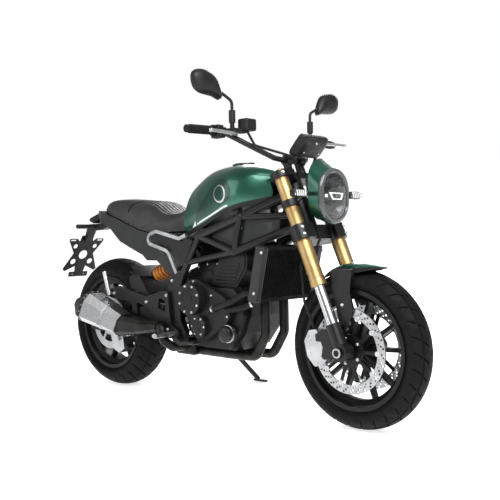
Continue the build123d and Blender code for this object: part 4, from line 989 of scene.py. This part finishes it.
for sign, name in ((1, "upper_lamp_bowl"), (-1, "lower_lamp_bowl")):
    bm = bmesh.new()
    rows = ((-6, 0), (-8, 3), (-22, 14), (-29, 34), (-29, 58), (-32, 58), (-32, 30), (-24, 8), (-9, -1), (-6, 0))
    skin(bm, [d_ring(x, i, sign) for x, i in rows])
    keep(name, bm, "lamp_chrome", "steering")
bm = bmesh.new()
BAR = [(-64, -14), (-60, -17), (60, -17), (64, -14), (64, 14), (60, 17), (-60, 17), (-64, 14)]
skin(bm, [[(LAMP.x + x, y * s, LAMP.z + z * s) for y, z in BAR]
          for x, s in ((-30, 1), (-8, 1), (-4, 0.9), (-3, 0.5))], ends=True)
keep("headlight_bar", bm, "lamp_chrome", "steering")
FRAME_OUT = [(-30, 13), (54, 12), (44, -14), (-10, -14)]
FRAME_IN = [(-22, 9), (48, 8.4), (40.5, -10), (-7, -10)]
bm = bmesh.new()
skin(bm, [[(LAMP.x + x, y, LAMP.z + z) for y, z in line]
          for line, x in ((FRAME_OUT, -5), (FRAME_OUT, 1), (FRAME_IN, 1), (FRAME_IN, -5), (FRAME_OUT, -5))])
MARK = ((-2, -6), (2, -6), (2, 6), (-2, 6))
for y in (-52, -44):
    skin(bm, [[(LAMP.x + x, y + a, LAMP.z + b) for a, b in MARK] for x in (-5, 0)], ends=True)
keep("lit_frame", bm, "lit_white_acrylic", "steering")
print("lamp bowls, bar and lit frame")

# %% [markdown]
# Paint and medallions lie on the tank and the fender as thin sheets. They could be painted into the solid's own
# material, but their edges would be soft or need a picture. An outline is shot at the solid instead, and a closed
# sheet is drawn inside it, a fraction of a millimetre off the surface that it meets.

# %% Sheets laid on a surface
UNDER, SHEET_RINGS = 0.6, (0, 0.25, 0.5, 0.75, 0.94, 1)


def laid(name, node, line, aim, lift, finish, body="chassis"):
    """A sheet inside a closed line, laid on a solid along aim."""
    line = [Vector(p) for p in line]
    centre = sum(line, Vector()) / len(line)
    under, over = [], []
    for part in SHEET_RINGS:
        found = [hit(node, centre + (p - centre) * part, aim) for p in line]
        under.append([point - normal * UNDER for point, normal in found])
        over.append([point + normal * (lift if part < 1 else lift * 0.5) for point, normal in found])
    bm = bmesh.new()
    skin(bm, under + over[::-1])
    keep(name, bm, finish, body, 50)


print("sheets ready")

# %% [markdown]
# Each side of the tank has a panel of a deeper green with a dark gap around it. A groove could be cut for the gap. The
# same outline, drawn a little larger in black and half as high, looks the same and leaves the tank whole.

# %% Tank panels
BESIDE, WITH_GAP = 300, 1.025
PANEL = [(712, 808), (716, 833), (766, 887), (789, 909), (822, 944), (855, 963), (882, 965), (912, 950), (930, 924),
         (928, 892), (900, 872), (800, 828)]


def tank_panel(side, where):
    """The deeper green panel of one side, and the dark gap around it."""
    loop = smooth_loop([(x, BESIDE * side, z) for x, z in PANEL])
    middle = sum(loop, Vector()) / len(loop)
    wider = [middle + (p - middle) * WITH_GAP for p in loop]
    laid("tank_panel_gap_" + where, "fuel_tank", wider, (0, -side, 0), 0.25, "moulded_black_plastic")
    laid("tank_panel_" + where, "fuel_tank", loop, (0, -side, 0), 0.5, "deep_green_paint")


print("points in the panel's outline:", len(PANEL))

# %% [markdown]
# A white line follows the tank's lower edge and ends at the rear in a pointed tip. The line is too narrow for a sheet
# around one centre, so it is a strip: rays find the tank along its lower and upper edge, and rows of points between
# them give it a section with a low crown.

# %% Tank stripe
TANK_FOOT = [(570, 752), (640, 760), (700, 776), (790, 806), (890, 844), (965, 864)]


def tank_foot(x):
    """The height of the tank's lower edge at x."""
    for (x0, z0), (x1, z1) in zip(TANK_FOOT, TANK_FOOT[1:]):
        if x0 <= x <= x1:
            return z0 + (z1 - z0) * (x - x0) / (x1 - x0)


STRIPE_LOW, STRIPE_HIGH = 5, 11


def tank_stripe(side, where):
    """The white line along the foot of the tank, and its tip."""
    aim, rows = (0, -side, 0), []
    for share, lift in ((0, -0.5), (0, 0.5), (0.5, 0.7), (1, 0.5), (1, -0.5), (0, -0.5)):
        row = []
        for x in [700 + 10.5 * k for k in range(21)]:
            low, high = [Vector((x, BESIDE * side, tank_foot(x) + up)) for up in (STRIPE_LOW, STRIPE_HIGH)]
            point, normal = hit("fuel_tank", low.lerp(high, share), aim)
            row.append(point + normal * lift)
        rows.append(row)
    bm = bmesh.new()
    for a, b in zip(rows, rows[1:]):
        skin(bm, [a, b], closed=False)
    for end in (0, -1):
        bm.faces.new([bm.verts.new(row[end]) for row in rows[:-1]])
    keep("tank_stripe_" + where, bm, "white_paint")
    corners = [(x, tank_foot(x) + up) for x, up in ((654, 4), (691, 5), (689, 25))]
    tip = []
    for (x0, z0), (x1, z1) in zip(corners, corners[1:] + corners[:1]):
        tip += [(x0 + (x1 - x0) * k / 5, BESIDE * side, z0 + (z1 - z0) * k / 5) for k in range(5)]
    laid("stripe_tip_" + where, "fuel_tank", tip, aim, 0.6, "white_paint")


print("height of the tank's foot at x = 800:", round(tank_foot(800), 1))

# %% [markdown]
# A round metal medallion with a green face sits in the panel. It could be a flat coin, but the tank curves under it, so
# it is two sheets laid on the tank, the face a little higher than the rim. Then both sides are dressed.

# %% Medallions, and both sides of the tank
MEDALLION = (873, 906)


def medallion(side, where):
    """A plain round medallion: a bright rim and a green face."""
    angles = [k * math.pi / 24 for k in range(48)]
    for name, wide, tall, lift, finish in (
        ("medallion_rim_", 36, 37, 2.4, "satin_aluminium"),
        ("medallion_face_", 31, 32, 2.9, "deep_green_paint"),
    ):
        ring = [(MEDALLION[0] + wide * math.cos(a), BESIDE * side, MEDALLION[1] + tall * math.sin(a)) for a in angles]
        laid(name + where, "fuel_tank", ring, (0, -side, 0), lift, finish)


for side, where in SIDES:
    tank_panel(side, where)
    tank_stripe(side, where)
    medallion(side, where)
print("tank panels, stripes and medallions")

# %% [markdown]
# The front fender is black plastic with a green panel on its top. The panel is a sheet as well, shot from above, and
# one half of its outline is mirrored so that both sides match.

# %% Fender panel
half = [(1366, 3), (1388, 34), (1440, 52), (1500, 50), (1548, 32), (1578, 6)]
top = half + [(x, -y) for x, y in reversed(half)]
laid("fender_top_panel", "front_fender", smooth_loop([(x, y, 800) for x, y in top]), (0, 0, -1), 0.6,
     "metallic_green_paint", "steering")
print("fender panel, points:", len(top))

# %% [markdown]
# The seat is a foam pad under vinyl. A subdivided block would be too even: foam fills its cover from within. So the
# solid is shrunk a little, rebuilt from even faces about 5 mm wide and blown up as cloth. Its movement is capped and
# its underside held, because the pad rests on the frame.

# %% Padded seat
SHRINK, FACE_SIZE, PRESSURE, CAP = 0.004, 0.0055, 4.0, 0.007
bm = bmesh.new()
bm.from_mesh(nodes["seat"].data)
bmesh.ops.remove_doubles(bm, verts=bm.verts, dist=0.00002)
bm.normal_update()
for v in bm.verts:
    v.co -= v.normal * SHRINK
mesh = bpy.data.meshes.new("seat_start")
bm.to_mesh(mesh)
bm.free()
pad = bpy.data.objects.new("seat_start", mesh)
bpy.context.scene.collection.objects.link(pad)


def bake_modifiers(obj):
    """The object's mesh with its modifiers applied."""
    made = bpy.data.meshes.new_from_object(obj.evaluated_get(bpy.context.evaluated_depsgraph_get()))
    obj.modifiers.clear()
    obj.data = made
    return made


rebuilt = pad.modifiers.new("even_faces", "REMESH")
rebuilt.mode, rebuilt.voxel_size = "VOXEL", FACE_SIZE
start = [v.co.copy() for v in bake_modifiers(pad).vertices]
facing = [v.normal.copy() for v in pad.data.vertices]
cloth = pad.modifiers.new("filled", "CLOTH")
cloth.settings.use_pressure = True
cloth.settings.uniform_pressure_force = PRESSURE
cloth.settings.effector_weights.gravity = 0.0
for moment in range(1, 21):
    bpy.context.scene.frame_set(moment)
bake_modifiers(pad)
DOWN = TURN @ Vector((0, 0, -1))
for v, before, normal in zip(pad.data.vertices, start, facing):
    moved = v.co - before
    held = max(0.0, normal.dot(DOWN) - 0.2) * 4
    v.co = before + moved * min(1.0, CAP / max(moved.length, 1e-6)) * max(0.0, 1 - held)
finer = pad.modifiers.new("finer", "SUBSURF")
finer.levels = finer.render_levels = 1
mesh = bake_modifiers(pad)
print("seat faces:", len(mesh.polygons))

# %% [markdown]
# A cross seam parts the rider's place from the passenger's and curves back towards the sides. In front of it the
# cover is sewn into ribs with a border. They could be sculpted; a rule that gives a depth for every place presses
# them in evenly, along the cover's own normals.

# %% Seam and ribs of the seat
def seam_x(y):
    """Where the cross seam lies, curving back towards the sides."""
    return 285 - 92 * (abs(y) / 125) ** 2


def limited(value):
    """A value held between 0 and 1."""
    return min(1, max(0, value))


def pressed(x, y, up):
    """How deep the cover is pressed in at a place, in mm."""
    ahead = x - seam_x(y)
    depth = 5.5 * math.exp(-(ahead / 5.0) ** 2)
    inside = limited((ahead - 14) / 12) * limited((478 - x) / 25) * limited((80 - abs(y)) / 8)
    depth += inside * 2.6 * math.cos(math.pi * y / 22) ** 8
    border = limited(ahead / 20) * limited((500 - x) / 30)
    depth += border * 2.4 * math.exp(-((abs(y) - 84) / 4.0) ** 2)
    return depth * limited(up * 3 - 0.4)


upright = IN_SCENE.inverted()
flat = [upright @ v.co for v in mesh.vertices]
ups = [(TURN.inverted() @ v.normal).z for v in mesh.vertices]
normals = [v.normal.copy() for v in mesh.vertices]
for v, p, up, normal in zip(mesh.vertices, flat, ups, normals):
    v.co -= normal * pressed(p.x, p.y, max(up, 0.5 if abs(p.y) > 90 and p.x < 320 else up)) / 1000
mesh.shade_smooth()
mesh.materials.clear()
mesh.materials.append(finishes["seat_vinyl"])
mesh.name = pad.name = "padded_seat"
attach(pad, "chassis")
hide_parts("seat")
print("seam and ribs pressed in")

# %% [markdown]
# Thread shows on both sides of the seam as short, slightly raised stitches. A dashed texture would be flat, so one
# stitch is turned like a grain of rice, and the path tree lays it along a line of rays on the finished cover.

# %% Stitches
FROM_ABOVE, SEAM_END, STITCHES = 1100, 98, 44
surfaces["padded_seat"] = ray_tree(mesh)
bm = bmesh.new()
turned(bm, [(0, -2.4), (0.5, -2.2), (0.7, -1.4), (0.7, 1.4), (0.5, 2.2), (0, 2.4)], (0, 0, 0), (1, 0, 0), 6)
stitch = to_mesh(bm, "stitch")
for offset, name in ((-5.5, "rear_seam_stitches"), (5.5, "front_seam_stitches")):
    points = []
    for k in range(61):
        y = -SEAM_END + 2 * SEAM_END * k / 60
        point, normal = hit("padded_seat", (seam_x(y) + offset, y, FROM_ABOVE), (0, 0, -1))
        points.append(point + normal * 0.2)
    line = path_object(name + "_line", points, closed=False)
    grow(name, path_tree, stitch.copy(), "chassis", Path=line, Count=STITCHES, Narrow=1.0,
         Finish=finishes["moulded_rubber"])
    bpy.data.objects.remove(line)
print("stitches in each row:", STITCHES)

# %% [markdown]
# A round rubber piping closes the seam and runs down both sides. A curve with a bevel would do, and would have to be
# made a mesh afterwards. Rings around a line of rays are a mesh at once, lifted so that the cord stands out of
# its groove.

# %% Seat piping
PIPING, PROUD = 2.8, 3.4


def piped(start, aim):
    """A point just above the seat where a ray meets it."""
    point, normal = hit("padded_seat", start, aim)
    return point + normal * PROUD


line = [piped((seam_x(y), y, FROM_ABOVE), (0, 0, -1)) for y in range(-SEAM_END, SEAM_END + 1, 7)]
for side in (-1, 1):
    edge = line[0] if side < 0 else line[-1]
    for drop in (8, 16, 24, 32):
        point = piped((edge.x - 0.5 * drop, BESIDE * side, edge.z - drop), (0, -side, 0))
        line = [point] + line if side < 0 else line + [point]
rings = []
angles = [k * math.pi / 4 for k in range(8)]
for before, here, after in zip(line[:1] + line, line, line[1:] + line[-1:]):
    along = (after - before).normalized()
    across = along.cross(Vector((1, 0, 0))).normalized()
    other = along.cross(across)
    rings.append([here + (across * math.cos(a) + other * math.sin(a)) * PIPING for a in angles])
bm = bmesh.new()
skin(bm, rings, ends=True)
keep("seat_piping", bm, "moulded_rubber")
print("points along the piping:", len(line))

# %% [markdown]
# The radiator's face is a stack of thin fins in front of flat tubes. A picture of stripes would shimmer and have no
# depth. A small tree repeats one fin, and one tube, along a straight row; it makes the grips' and the cylinders' ribs
# as well.

# %% Radiator core
row_tree, given = new_tree("row_of_pieces", Count="Int", Step="Vector", Finish="Material")
row = add(row_tree, "GeometryNodeMeshLine", {"Count": given["Count"], "Offset": given["Step"]})
copies = add(row_tree, "GeometryNodeInstanceOnPoints", {"Points": row.outputs[0], "Instance": given["Geometry"]})
close_tree(row_tree, given, copies.outputs[0], 0.001)
CORE = finishes["radiator_black"]
RADIATOR = Matrix.Translation((1100, 0, 580)) @ Matrix.Rotation(math.radians(13), 4, "Y")
bm = bmesh.new()
fin = [(16.5, -0.5), (19, -0.8), (20.2, -0.3), (20.2, 0.3), (19, 0.8), (16.5, 0.5)]
skin(bm, [[(x, y, -93 + z) for x, z in fin] for y in (-149, 149)], ends=True)
grow("radiator_fins", row_tree, to_mesh(bm, "fin"), "chassis", RADIATOR, Count=54, Step=(0, 0, 3.5), Finish=CORE)
bm = bmesh.new()
tube = [(16.5, -1.6), (20.6, -1.6), (21.6, -0.8), (21.6, 0.8), (20.6, 1.6), (16.5, 1.6)]
skin(bm, [[(x, -144 + y, z) for x, y in tube] for z in (-96, 96)], ends=True)
grow("radiator_tubes", row_tree, to_mesh(bm, "tube"), "chassis", RADIATOR, Count=25, Step=(0, 12, 0), Finish=CORE)
print("radiator fins and tubes")

# %% [markdown]
# The rubber grips have round ribs that the hand can hold. They could be a bump, but they show against the light, so one
# rib is turned and the row tree sets it along the bar, which droops a little outward.

# %% Grip ribs
GRIP_X, GRIP_Z, GRIP_INNER, FIRST_RIB = 1005.9, 1139.9, 262, 318
BAR_DROP, RIB_STEP = -5 / 168, 6.4
RIB = [(16.2, -2.4), (17.4, -1.8), (17.7, 0), (17.4, 1.8), (16.2, 2.4), (15, 0), (16.2, -2.4)]
for side, where in SIDES:
    bm = bmesh.new()
    first_rib = (GRIP_X, FIRST_RIB * side, GRIP_Z + (FIRST_RIB - GRIP_INNER) * BAR_DROP)
    turned(bm, RIB, first_rib, (0, side, BAR_DROP), 28)
    grow("grip_ribs_" + where, row_tree, to_mesh(bm, "rib"), "steering", Count=18,
         Step=(0, RIB_STEP * side, RIB_STEP * BAR_DROP), Finish=finishes["moulded_rubber"])
print("grip ribs")

# %% [markdown]
# A mirror is a glass in a rim with a rounded shell behind it. The solids have the stalk and a flat head. One soft
# outline is drawn once and scaled about its middle, and each piece is a stack of it, which keeps all three in step.

# %% Mirrors
MIRROR_X, HEAD_Y, HEAD_Z, OUTLINE_Z = 1037.9, 365, 1309.9, 1308
HEAD = [(292, 1258), (302, 1300), (330, 1338), (384, 1356), (424, 1346), (438, 1322), (428, 1286), (398, 1268),
        (340, 1262)]
OUTLINE = smooth_loop([(y, z, 0) for y, z in HEAD])


def mirror_piece(name, finish, side, rows, sharp=35):
    """A piece of a mirror from (x, scale) rows of its outline."""
    bm = bmesh.new()
    skin(bm, [[(MIRROR_X + x, side * (HEAD_Y + s * (p.x - HEAD_Y)), HEAD_Z + s * (p.y - OUTLINE_Z)) for p in OUTLINE]
              for x, s in rows])
    keep(name, bm, finish, "steering", sharp)


for side, where in SIDES:
    mirror_piece("mirror_rim_" + where, "moulded_black_plastic", side, (
        (-10.6, 1.02), (-11.6, 1.0), (-11.6, 0.94), (-9.5, 0.93), (-9.5, 1.0), (-10.6, 1.02)))
    mirror_piece("mirror_glass_" + where, "mirror_glass", side, (
        (-9.8, 0), (-9.8, 0.94), (-11, 0.94), (-11.4, 0.9), (-11.6, 0.5), (-11.7, 0)))
    mirror_piece("mirror_shell_" + where, "moulded_black_plastic", side, (
        (-9, 0.6), (-9, 1.03), (-3, 1.03), (5, 0.98), (12, 0.9), (18, 0.76), (22, 0.56), (24, 0.3), (24.6, 0), (15, 0),
        (-9, 0.6)), 60)
print("mirror rims, glasses and shells")

# %% [markdown]
# The instrument is a dark display in a moulded case that faces the rider. A box with a bevel would do for the case, but
# its corners and its edge have different radii. So rim, screen and back are stacks of one rounded outline, in the
# case's own directions: across, up its face and out of it.

# %% Instrument
POD, ACROSS = Vector((1227.9, 0, 1079.9)), Vector((0, 1, 0))
RISE, FACE = Vector((0.682, 0, 0.7314)), Vector((-0.7314, 0, 0.682))


def rounded(width, height, corner, steps=6):
    """A flat outline with rounded corners."""
    points = []
    for cx, cy, start in ((1, 1, 0), (-1, 1, 90), (-1, -1, 180), (1, -1, 270)):
        for k in range(steps + 1):
            a = math.radians(start + 90 * k / steps)
            points.append((cx * (width / 2 - corner) + corner * math.cos(a),
                           cy * (height / 2 - corner) + corner * math.sin(a)))
    return points


def pod_piece(name, finish, rows, ends):
    """A piece of the instrument from rows of width, height, corner and lift."""
    bm = bmesh.new()
    skin(bm, [[POD + ACROSS * u + RISE * v + FACE * lift for u, v in rounded(w, h, c)] for w, h, c, lift in rows],
         ends=ends)
    keep(name, bm, finish, "steering")


pod_piece("instrument_rim", "moulded_black_plastic", (
    (152, 90, 12, 11), (152, 90, 12, 13), (148, 86, 11, 15), (138, 76, 9, 15), (136, 74, 8, 13), (136, 74, 8, 11),
    (152, 90, 12, 11)), False)
pod_piece("instrument_screen", "display_glass", (
    (136, 74, 8, 11.5), (136, 74, 8, 13), (130, 68, 6, 13.6), (60, 30, 4, 13.8)), True)
pod_piece("instrument_back", "moulded_black_plastic", (
    (150, 88, 14, -10), (154, 92, 14, -12.5), (154, 92, 14, -15), (140, 78, 16, -22), (112, 56, 16, -27),
    (60, 30, 10, -28)), True)
screws = [(POD + ACROSS * u + RISE * v - FACE * d, -FACE, 5.5)
          for u, v, d in ((-44, -14, 25.5), (44, -14, 25.5), (0, 30, 23.8))]
bolts("instrument_screws", screws, "satin_aluminium", "steering")

# %% [markdown]
# Signals and tail lamp are black housings with coloured lenses. A sphere cut flat would be too round for them. So a
# lens is a rounded outline that shrinks as it rises: its edge is steep and its middle nearly flat.

# %% Signals and tail lamp
def lens_cap(name, centre, toward, width, height, body, finish):
    """A bulged lens on the flat side of a signal."""
    bm = bmesh.new()
    across, up, out = Vector((0, 1, 0)), Vector((0, 0, 1)), Vector((toward, 0, 0))
    rows = ((1.0, -2), (1.0, 1), (0.94, 3), (0.75, 4.4), (0.4, 5))
    skin(bm, [[Vector(centre) + across * (u * s) + up * (v * (1 - (1 - s) * 1.6 if s > 0.5 else 0.3)) + out * lift
               for u, v in rounded(width, height, 6)] for s, lift in rows], ends=True)
    keep(name, bm, finish, body, 60)


for side, where in SIDES:
    # The front lenses carry bands of painted highlight and painted shade for their ribs.
    lens_cap("front_signal_lens_" + where, (1329, 172 * side, 886), 1, 66, 22, "steering", "ribbed_lens_painted_light")
    lens_cap("rear_signal_lens_" + where, (-200, 92 * side, 793), -1, 70, 15, "chassis", "amber_lens_acrylic")
TAIL = [(-221, 838.5), (-229.5, 823.5), (-199, 809.5), (-198, 811.5), (-226, 824), (-219, 836)]
TAIL_X, TAIL_Z = -215, 824
bm = bmesh.new()
skin(bm, [[(x * s + (1 - s) * TAIL_X, y, z * s + (1 - s) * TAIL_Z) for x, z in TAIL]
          for y, s in ((-25, 0.96), (-23, 1), (23, 1), (25, 0.96))], ends=True)
keep("tail_lens", bm, "red_lens_acrylic")
print("signal and tail lenses")

# %% [markdown]
# Dark covers close the triangles of the trellis frame beside the tank's foot. They are pressed plastic with a raised
# edge. A flat face would look like paper, so each is a small stack of its own corners, stepped in from its edge.

# %% Panels in the frame
def side_panel(name, corners, deep, finish):
    """A flat panel with a bevelled edge inside a frame window; its corners have their own y."""
    corners = [Vector(c) for c in corners]
    centre = sum(corners, Vector()) / len(corners)
    normal = (corners[1] - corners[0]).cross(corners[2] - corners[0]).normalized()
    rows = []
    for scale, lift in ((1, -deep), (1, 0), (0.94, 3), (0.6, 3), (0.56, 1), (0.3, 1)):
        rows.append([centre + (c - centre) * scale + normal * lift for c in corners])
    bm = bmesh.new()
    skin(bm, rows, ends=True)
    keep(name, bm, finish)


for side, where in SIDES:
    order = 1 if side < 0 else -1
    rear = [(748, 118, 736), (926, 116, 680), (956, 118, 796)][::order]
    side_panel("rear_window_panel_" + where, [(x, y * side, z) for x, y, z in rear], 4, "dark_grey_plastic")
    front = [(946, 118, 674), (1116, 58, 738), (1120, 54, 806), (978, 118, 808)][::order]
    side_panel("front_window_panel_" + where, [(x, y * side, z) for x, y, z in front], 4, "dark_grey_plastic")
print("frame window panels")

# %% [markdown]
# The engine's covers are castings with turned rings, and an oil filter stands in front of them. All of them are round,
# so each is spun from a profile of radius and height, as it would be on a lathe.

# %% Cover rings and oil filter
FILTER = (905, -125, 330)
bm = bmesh.new()
turned(bm, [(0, 4), (20, 4), (22, 2.5), (22, 1), (40, 1), (41, 3), (47, 3), (48, 1), (66, 0.6), (67, -1), (0, -1)],
       (CLUTCH[0], -186, CLUTCH[1]), (0, -1, 0), 56)
turned(bm, [(0, 3), (14, 3), (15, 1), (28, 1), (29, 2.5), (33, 2.5), (34, 0.6), (42, 0.4), (43, -1), (0, -1)],
       (PUMP[0], -172, PUMP[1]), (0, -1, 0), 48)
turned(bm, [(0, 4), (24, 4), (26, 2), (46, 2), (48, 4), (54, 4), (56, 1), (68, 0.6), (69, -1), (0, -1)],
       (GENERATOR[0], 182, GENERATOR[1]), (0, 1, 0), 56)
keep("cover_rings", bm, "cast_engine_paint")
bm = bmesh.new()
turned(bm, [(0, 52), (20, 52), (30, 49), (34, 44), (34, 14), (36, 12), (36, 6), (33, 4), (33, -2), (0, -2)],
       FILTER, (0, -1, 0), 40)
keep("oil_filter", bm, "satin_powder_coat")
bm = bmesh.new()
turned(bm, [(34.4, 20), (36.5, 20.6), (36.5, 26), (34.4, 26.6), (34.4, 20)], FILTER, (0, -1, 0), 40)
keep("oil_filter_band", bm, "satin_aluminium")
print("cover rings and oil filter")

# %% [markdown]
# Beside the cylinders lie flat castings, with ribs on the right one. They could be blocks, but castings have sloped
# edges and steps, so each is one outline, drawn at several depths and scaled about its own centre. The row tree
# repeats the rib up the cylinders.

# %% Cylinder covers and ribs
def stepped(bm, outline, centre, rows, side=1):
    """Steps of one (x, z) outline: a depth y and a scale about the centre for each."""
    skin(bm, [[(centre[0] + (x - centre[0]) * s, side * y, centre[1] + (z - centre[1]) * s) for x, z in outline]
              for y, s in rows], ends=True)


SIDE_COVER = [(790, 528), (916, 528), (968, 600), (972, 640), (952, 696), (936, 714), (872, 722), (826, 640)]
bm = bmesh.new()
for side in (-1, 1):
    stepped(bm, SIDE_COVER, (870, 620), ((104, 0.94), (103, 0.96), (98, 0.96), (98, 0.5)), side)
keep("cylinder_side_covers", bm, "cast_engine_paint")
COVER_RIB = ((796, 536), (912, 536), (914, 540), (912, 544), (798, 544))
bm = bmesh.new()
skin(bm, [[(x, y, z) for x, z in COVER_RIB] for y in (-108, -100)], ends=True)
grow("cylinder_ribs", row_tree, to_mesh(bm, "rib"), "chassis", Count=6, Step=(5, 0, 15),
     Finish=finishes["cast_engine_paint"])
print("cylinder covers and ribs")

# %% [markdown]
# Behind the cylinders the gearbox housing fills the frame's rear triangle, with a bolt near each of its corners, and a
# plastic guard above it keeps the wheel's spray off the engine. Both are stepped outlines as well, because that is
# how a cast or moulded wall looks from the side.

# %% Gearbox housing and splash guard
HOUSING = [(566, 500), (566, 552), (592, 584), (650, 604), (716, 620), (790, 622), (814, 560), (806, 500), (690, 486)]
HOUSING_MID, BOLTS_IN, BOLTS_Y = (695, 552), 0.87, 74.4
bm = bmesh.new()
for side in (-1, 1):
    stepped(bm, HOUSING, HOUSING_MID, (
        (10, 1.0), (66, 1.0), (74, 0.95), (75, 0.8), (72, 0.77), (72, 0.5), (76, 0.46), (77, 0.2)), side)
keep("gearbox_housing", bm, "cast_engine_paint")
GUARD = [(556, 575), (588, 676), (612, 704), (700, 706), (804, 650), (800, 590)]
bm = bmesh.new()
stepped(bm, GUARD, (680, 640), ((2, 0.97), (3.5, 1.0), (9, 1.0), (12, 0.96), (12, 0.7), (9, 0.66), (9, 0.2)))
keep("inner_splash_guard", bm, "moulded_black_plastic")
spots = []
for side in (-1, 1):
    spots += [((HOUSING_MID[0] + (x - HOUSING_MID[0]) * BOLTS_IN, BOLTS_Y * side,
                HOUSING_MID[1] + (z - HOUSING_MID[1]) * BOLTS_IN), (0, side, 0), 5.5) for x, z in HOUSING]
bolts("gearbox_bolts", spots, "satin_aluminium")

# %% [markdown]
# Steel bands clamp the coolant hoses at their ends. A clamp is a ring with a small section. It could be a torus, but a
# band is flat, so its section is spun about the hose's own direction.

# %% Hose clamps
HOSE = 13.2


def clamp(bm, point, along, radius=HOSE):
    """A flat band around a hose."""
    band = [(radius, -4.5), (radius + 1.4, -4.2), (radius + 1.4, 4.2), (radius, 4.5), (radius, -4.5)]
    turned(bm, band, point, along, 28)


bm = bmesh.new()
clamp(bm, (1047.5, -135, 500), (1, 0.4, 0))
clamp(bm, (830, -158, 429.5), (-0.95, 0, -0.3))
clamp(bm, (1020, -126, 457), (0.85, 0.46, 0.4))
keep("hose_clamps", bm, "satin_aluminium")
print("hose clamps")

# %% [markdown]
# The fork ends in black caps, gold rings mark the ends of its outer tubes, and its inner tubes are ground and chromed.
# The solids' tubes have facets that a mirror finish would show, so a finely divided chrome sleeve lies on them, with
# its radius measured by a ray. A ring closes the axle on the right.

# %% Fork caps, rings and chrome
CAP_AT, CHROME_AT, CHROME_LONG, MEASURED_AT, SLEEVE = 740, 112, 150, 200, 0.35
bm = bmesh.new()
for side in (-1, 1):
    turned(bm, [(0, 10), (8, 10), (9, 8), (9, 5), (18, 4), (24, 2), (25.5, 0), (25.5, -1), (0, -1)],
           fork(CAP_AT, 0, FORK_HALF * side), UP, 32)
keep("fork_caps", bm, "satin_powder_coat", "steering")
bm = bmesh.new()
for side in (-1, 1):
    for s, tall, out in ((291, 6, 30.6), (318, 5, 30.4), (560, 5, 28.4)):
        turned(bm, [(out - 2, 0), (out, 0.8), (out, tall - 0.8), (out - 2, tall), (out - 2, 0)],
               fork(s, 0, FORK_HALF * side), UP, 48)
keep("fork_tube_rings", bm, "gold_anodising", "steering")
bm = bmesh.new()
for side in (-1, 1):
    found, _ = hit("fork_inner_tubes", fork(MEASURED_AT, AHEAD, FORK_HALF * side), -FORE)
    out = (found - fork(MEASURED_AT, 0, FORK_HALF * side)).length + SLEEVE
    turned(bm, [(out - 2, 0), (out, 0), (out, CHROME_LONG), (out - 2, CHROME_LONG), (out - 2, 0)],
           fork(CHROME_AT, 0, FORK_HALF * side), UP, 72)
keep("fork_chrome", bm, "hard_chrome", "steering")
bm = bmesh.new()
turned(bm, [(12.5, 0), (12.5, 2), (17.5, 2), (18, 1), (18, 0), (12.5, 0)],
       (FRONT_AXLE.x, -145.2, FRONT_AXLE.z), (0, -1, 0), 32)
keep("axle_ring", bm, "satin_aluminium", "steering")
print("chrome sleeve's radius, mm:", round(out, 2))

# %% [markdown]
# The silencer is an eight-sided can that widens to the rear, with a band around it, darker edges, rivets and an outlet.
# Solidified copies of its faces could make the bands. Here one rule gives the can's section at any place along it,
# and bands and rivets take their rings from that rule, so they fit all eight sides.

# %% Silencer
CAN_Y, RIVETS_AT, EDGE = -214, 0.98, 1.6


def can_ring(t, grow_by):
    """The silencer's eight-sided section, t from its front end to its rear."""
    def mix(a, b):
        """A value between those of the front end and of the rear."""
        return a + (b - a) * t
    top = Vector((mix(325, 72), CAN_Y, mix(378, 476)))
    low = Vector((mix(280, -8), CAN_Y, mix(288, 340)))
    up, middle = (top - low).normalized(), (top + low) / 2
    h, w = (top - low).length / 2 + grow_by, mix(92, 116) / 2 + grow_by
    half = [(-h, 0.55 * w), (-0.62 * h, w), (0.5 * h, w), (h, 0.62 * w)]
    return [middle + up * u + Vector((0, v, 0)) for u, v in [(u, -v) for u, v in half] + half[::-1]]


for name, t0, t1, rise_by, finish in (
    ("silencer_band", 0.40, 0.46, 2.0, "brushed_silencer_steel"),
    ("silencer_front_edge", 0.0, 0.035, EDGE, "dark_exhaust_steel"),
    ("silencer_rear_edge", 0.96, 1.0, EDGE, "dark_exhaust_steel"),
):
    bm = bmesh.new()
    skin(bm, [can_ring(t0, -1), can_ring(t0, rise_by), can_ring(t1, rise_by), can_ring(t1, -1), can_ring(t0, -1)])
    keep(name, bm, finish)
ring = can_ring(RIVETS_AT, EDGE)
centre = sum(ring, Vector()) / len(ring)
spots = []
for a, b in zip(ring, ring[1:] + ring[:1]):
    out = (b - a).cross(Vector((-1, 0, 0.35))).normalized()
    out = out if out.dot((a + b) / 2 - centre) > 0 else -out
    spots += [(a.lerp(b, share), out, 3.2) for share in (0.3, 0.7)]
bolts("silencer_rivets", spots, "satin_aluminium")
bm = bmesh.new()
turned(bm, [(20, -20), (24, -20), (24, 8), (22.5, 9.5), (21, 8), (20, -20)], (-40, CAN_Y, 394), (-1, 0, 0.12), 32)
keep("silencer_outlet", bm, "dark_exhaust_steel")
print("silencer band, rivets and outlet")

# %% [markdown]

# %% The end
print("machine dressed")
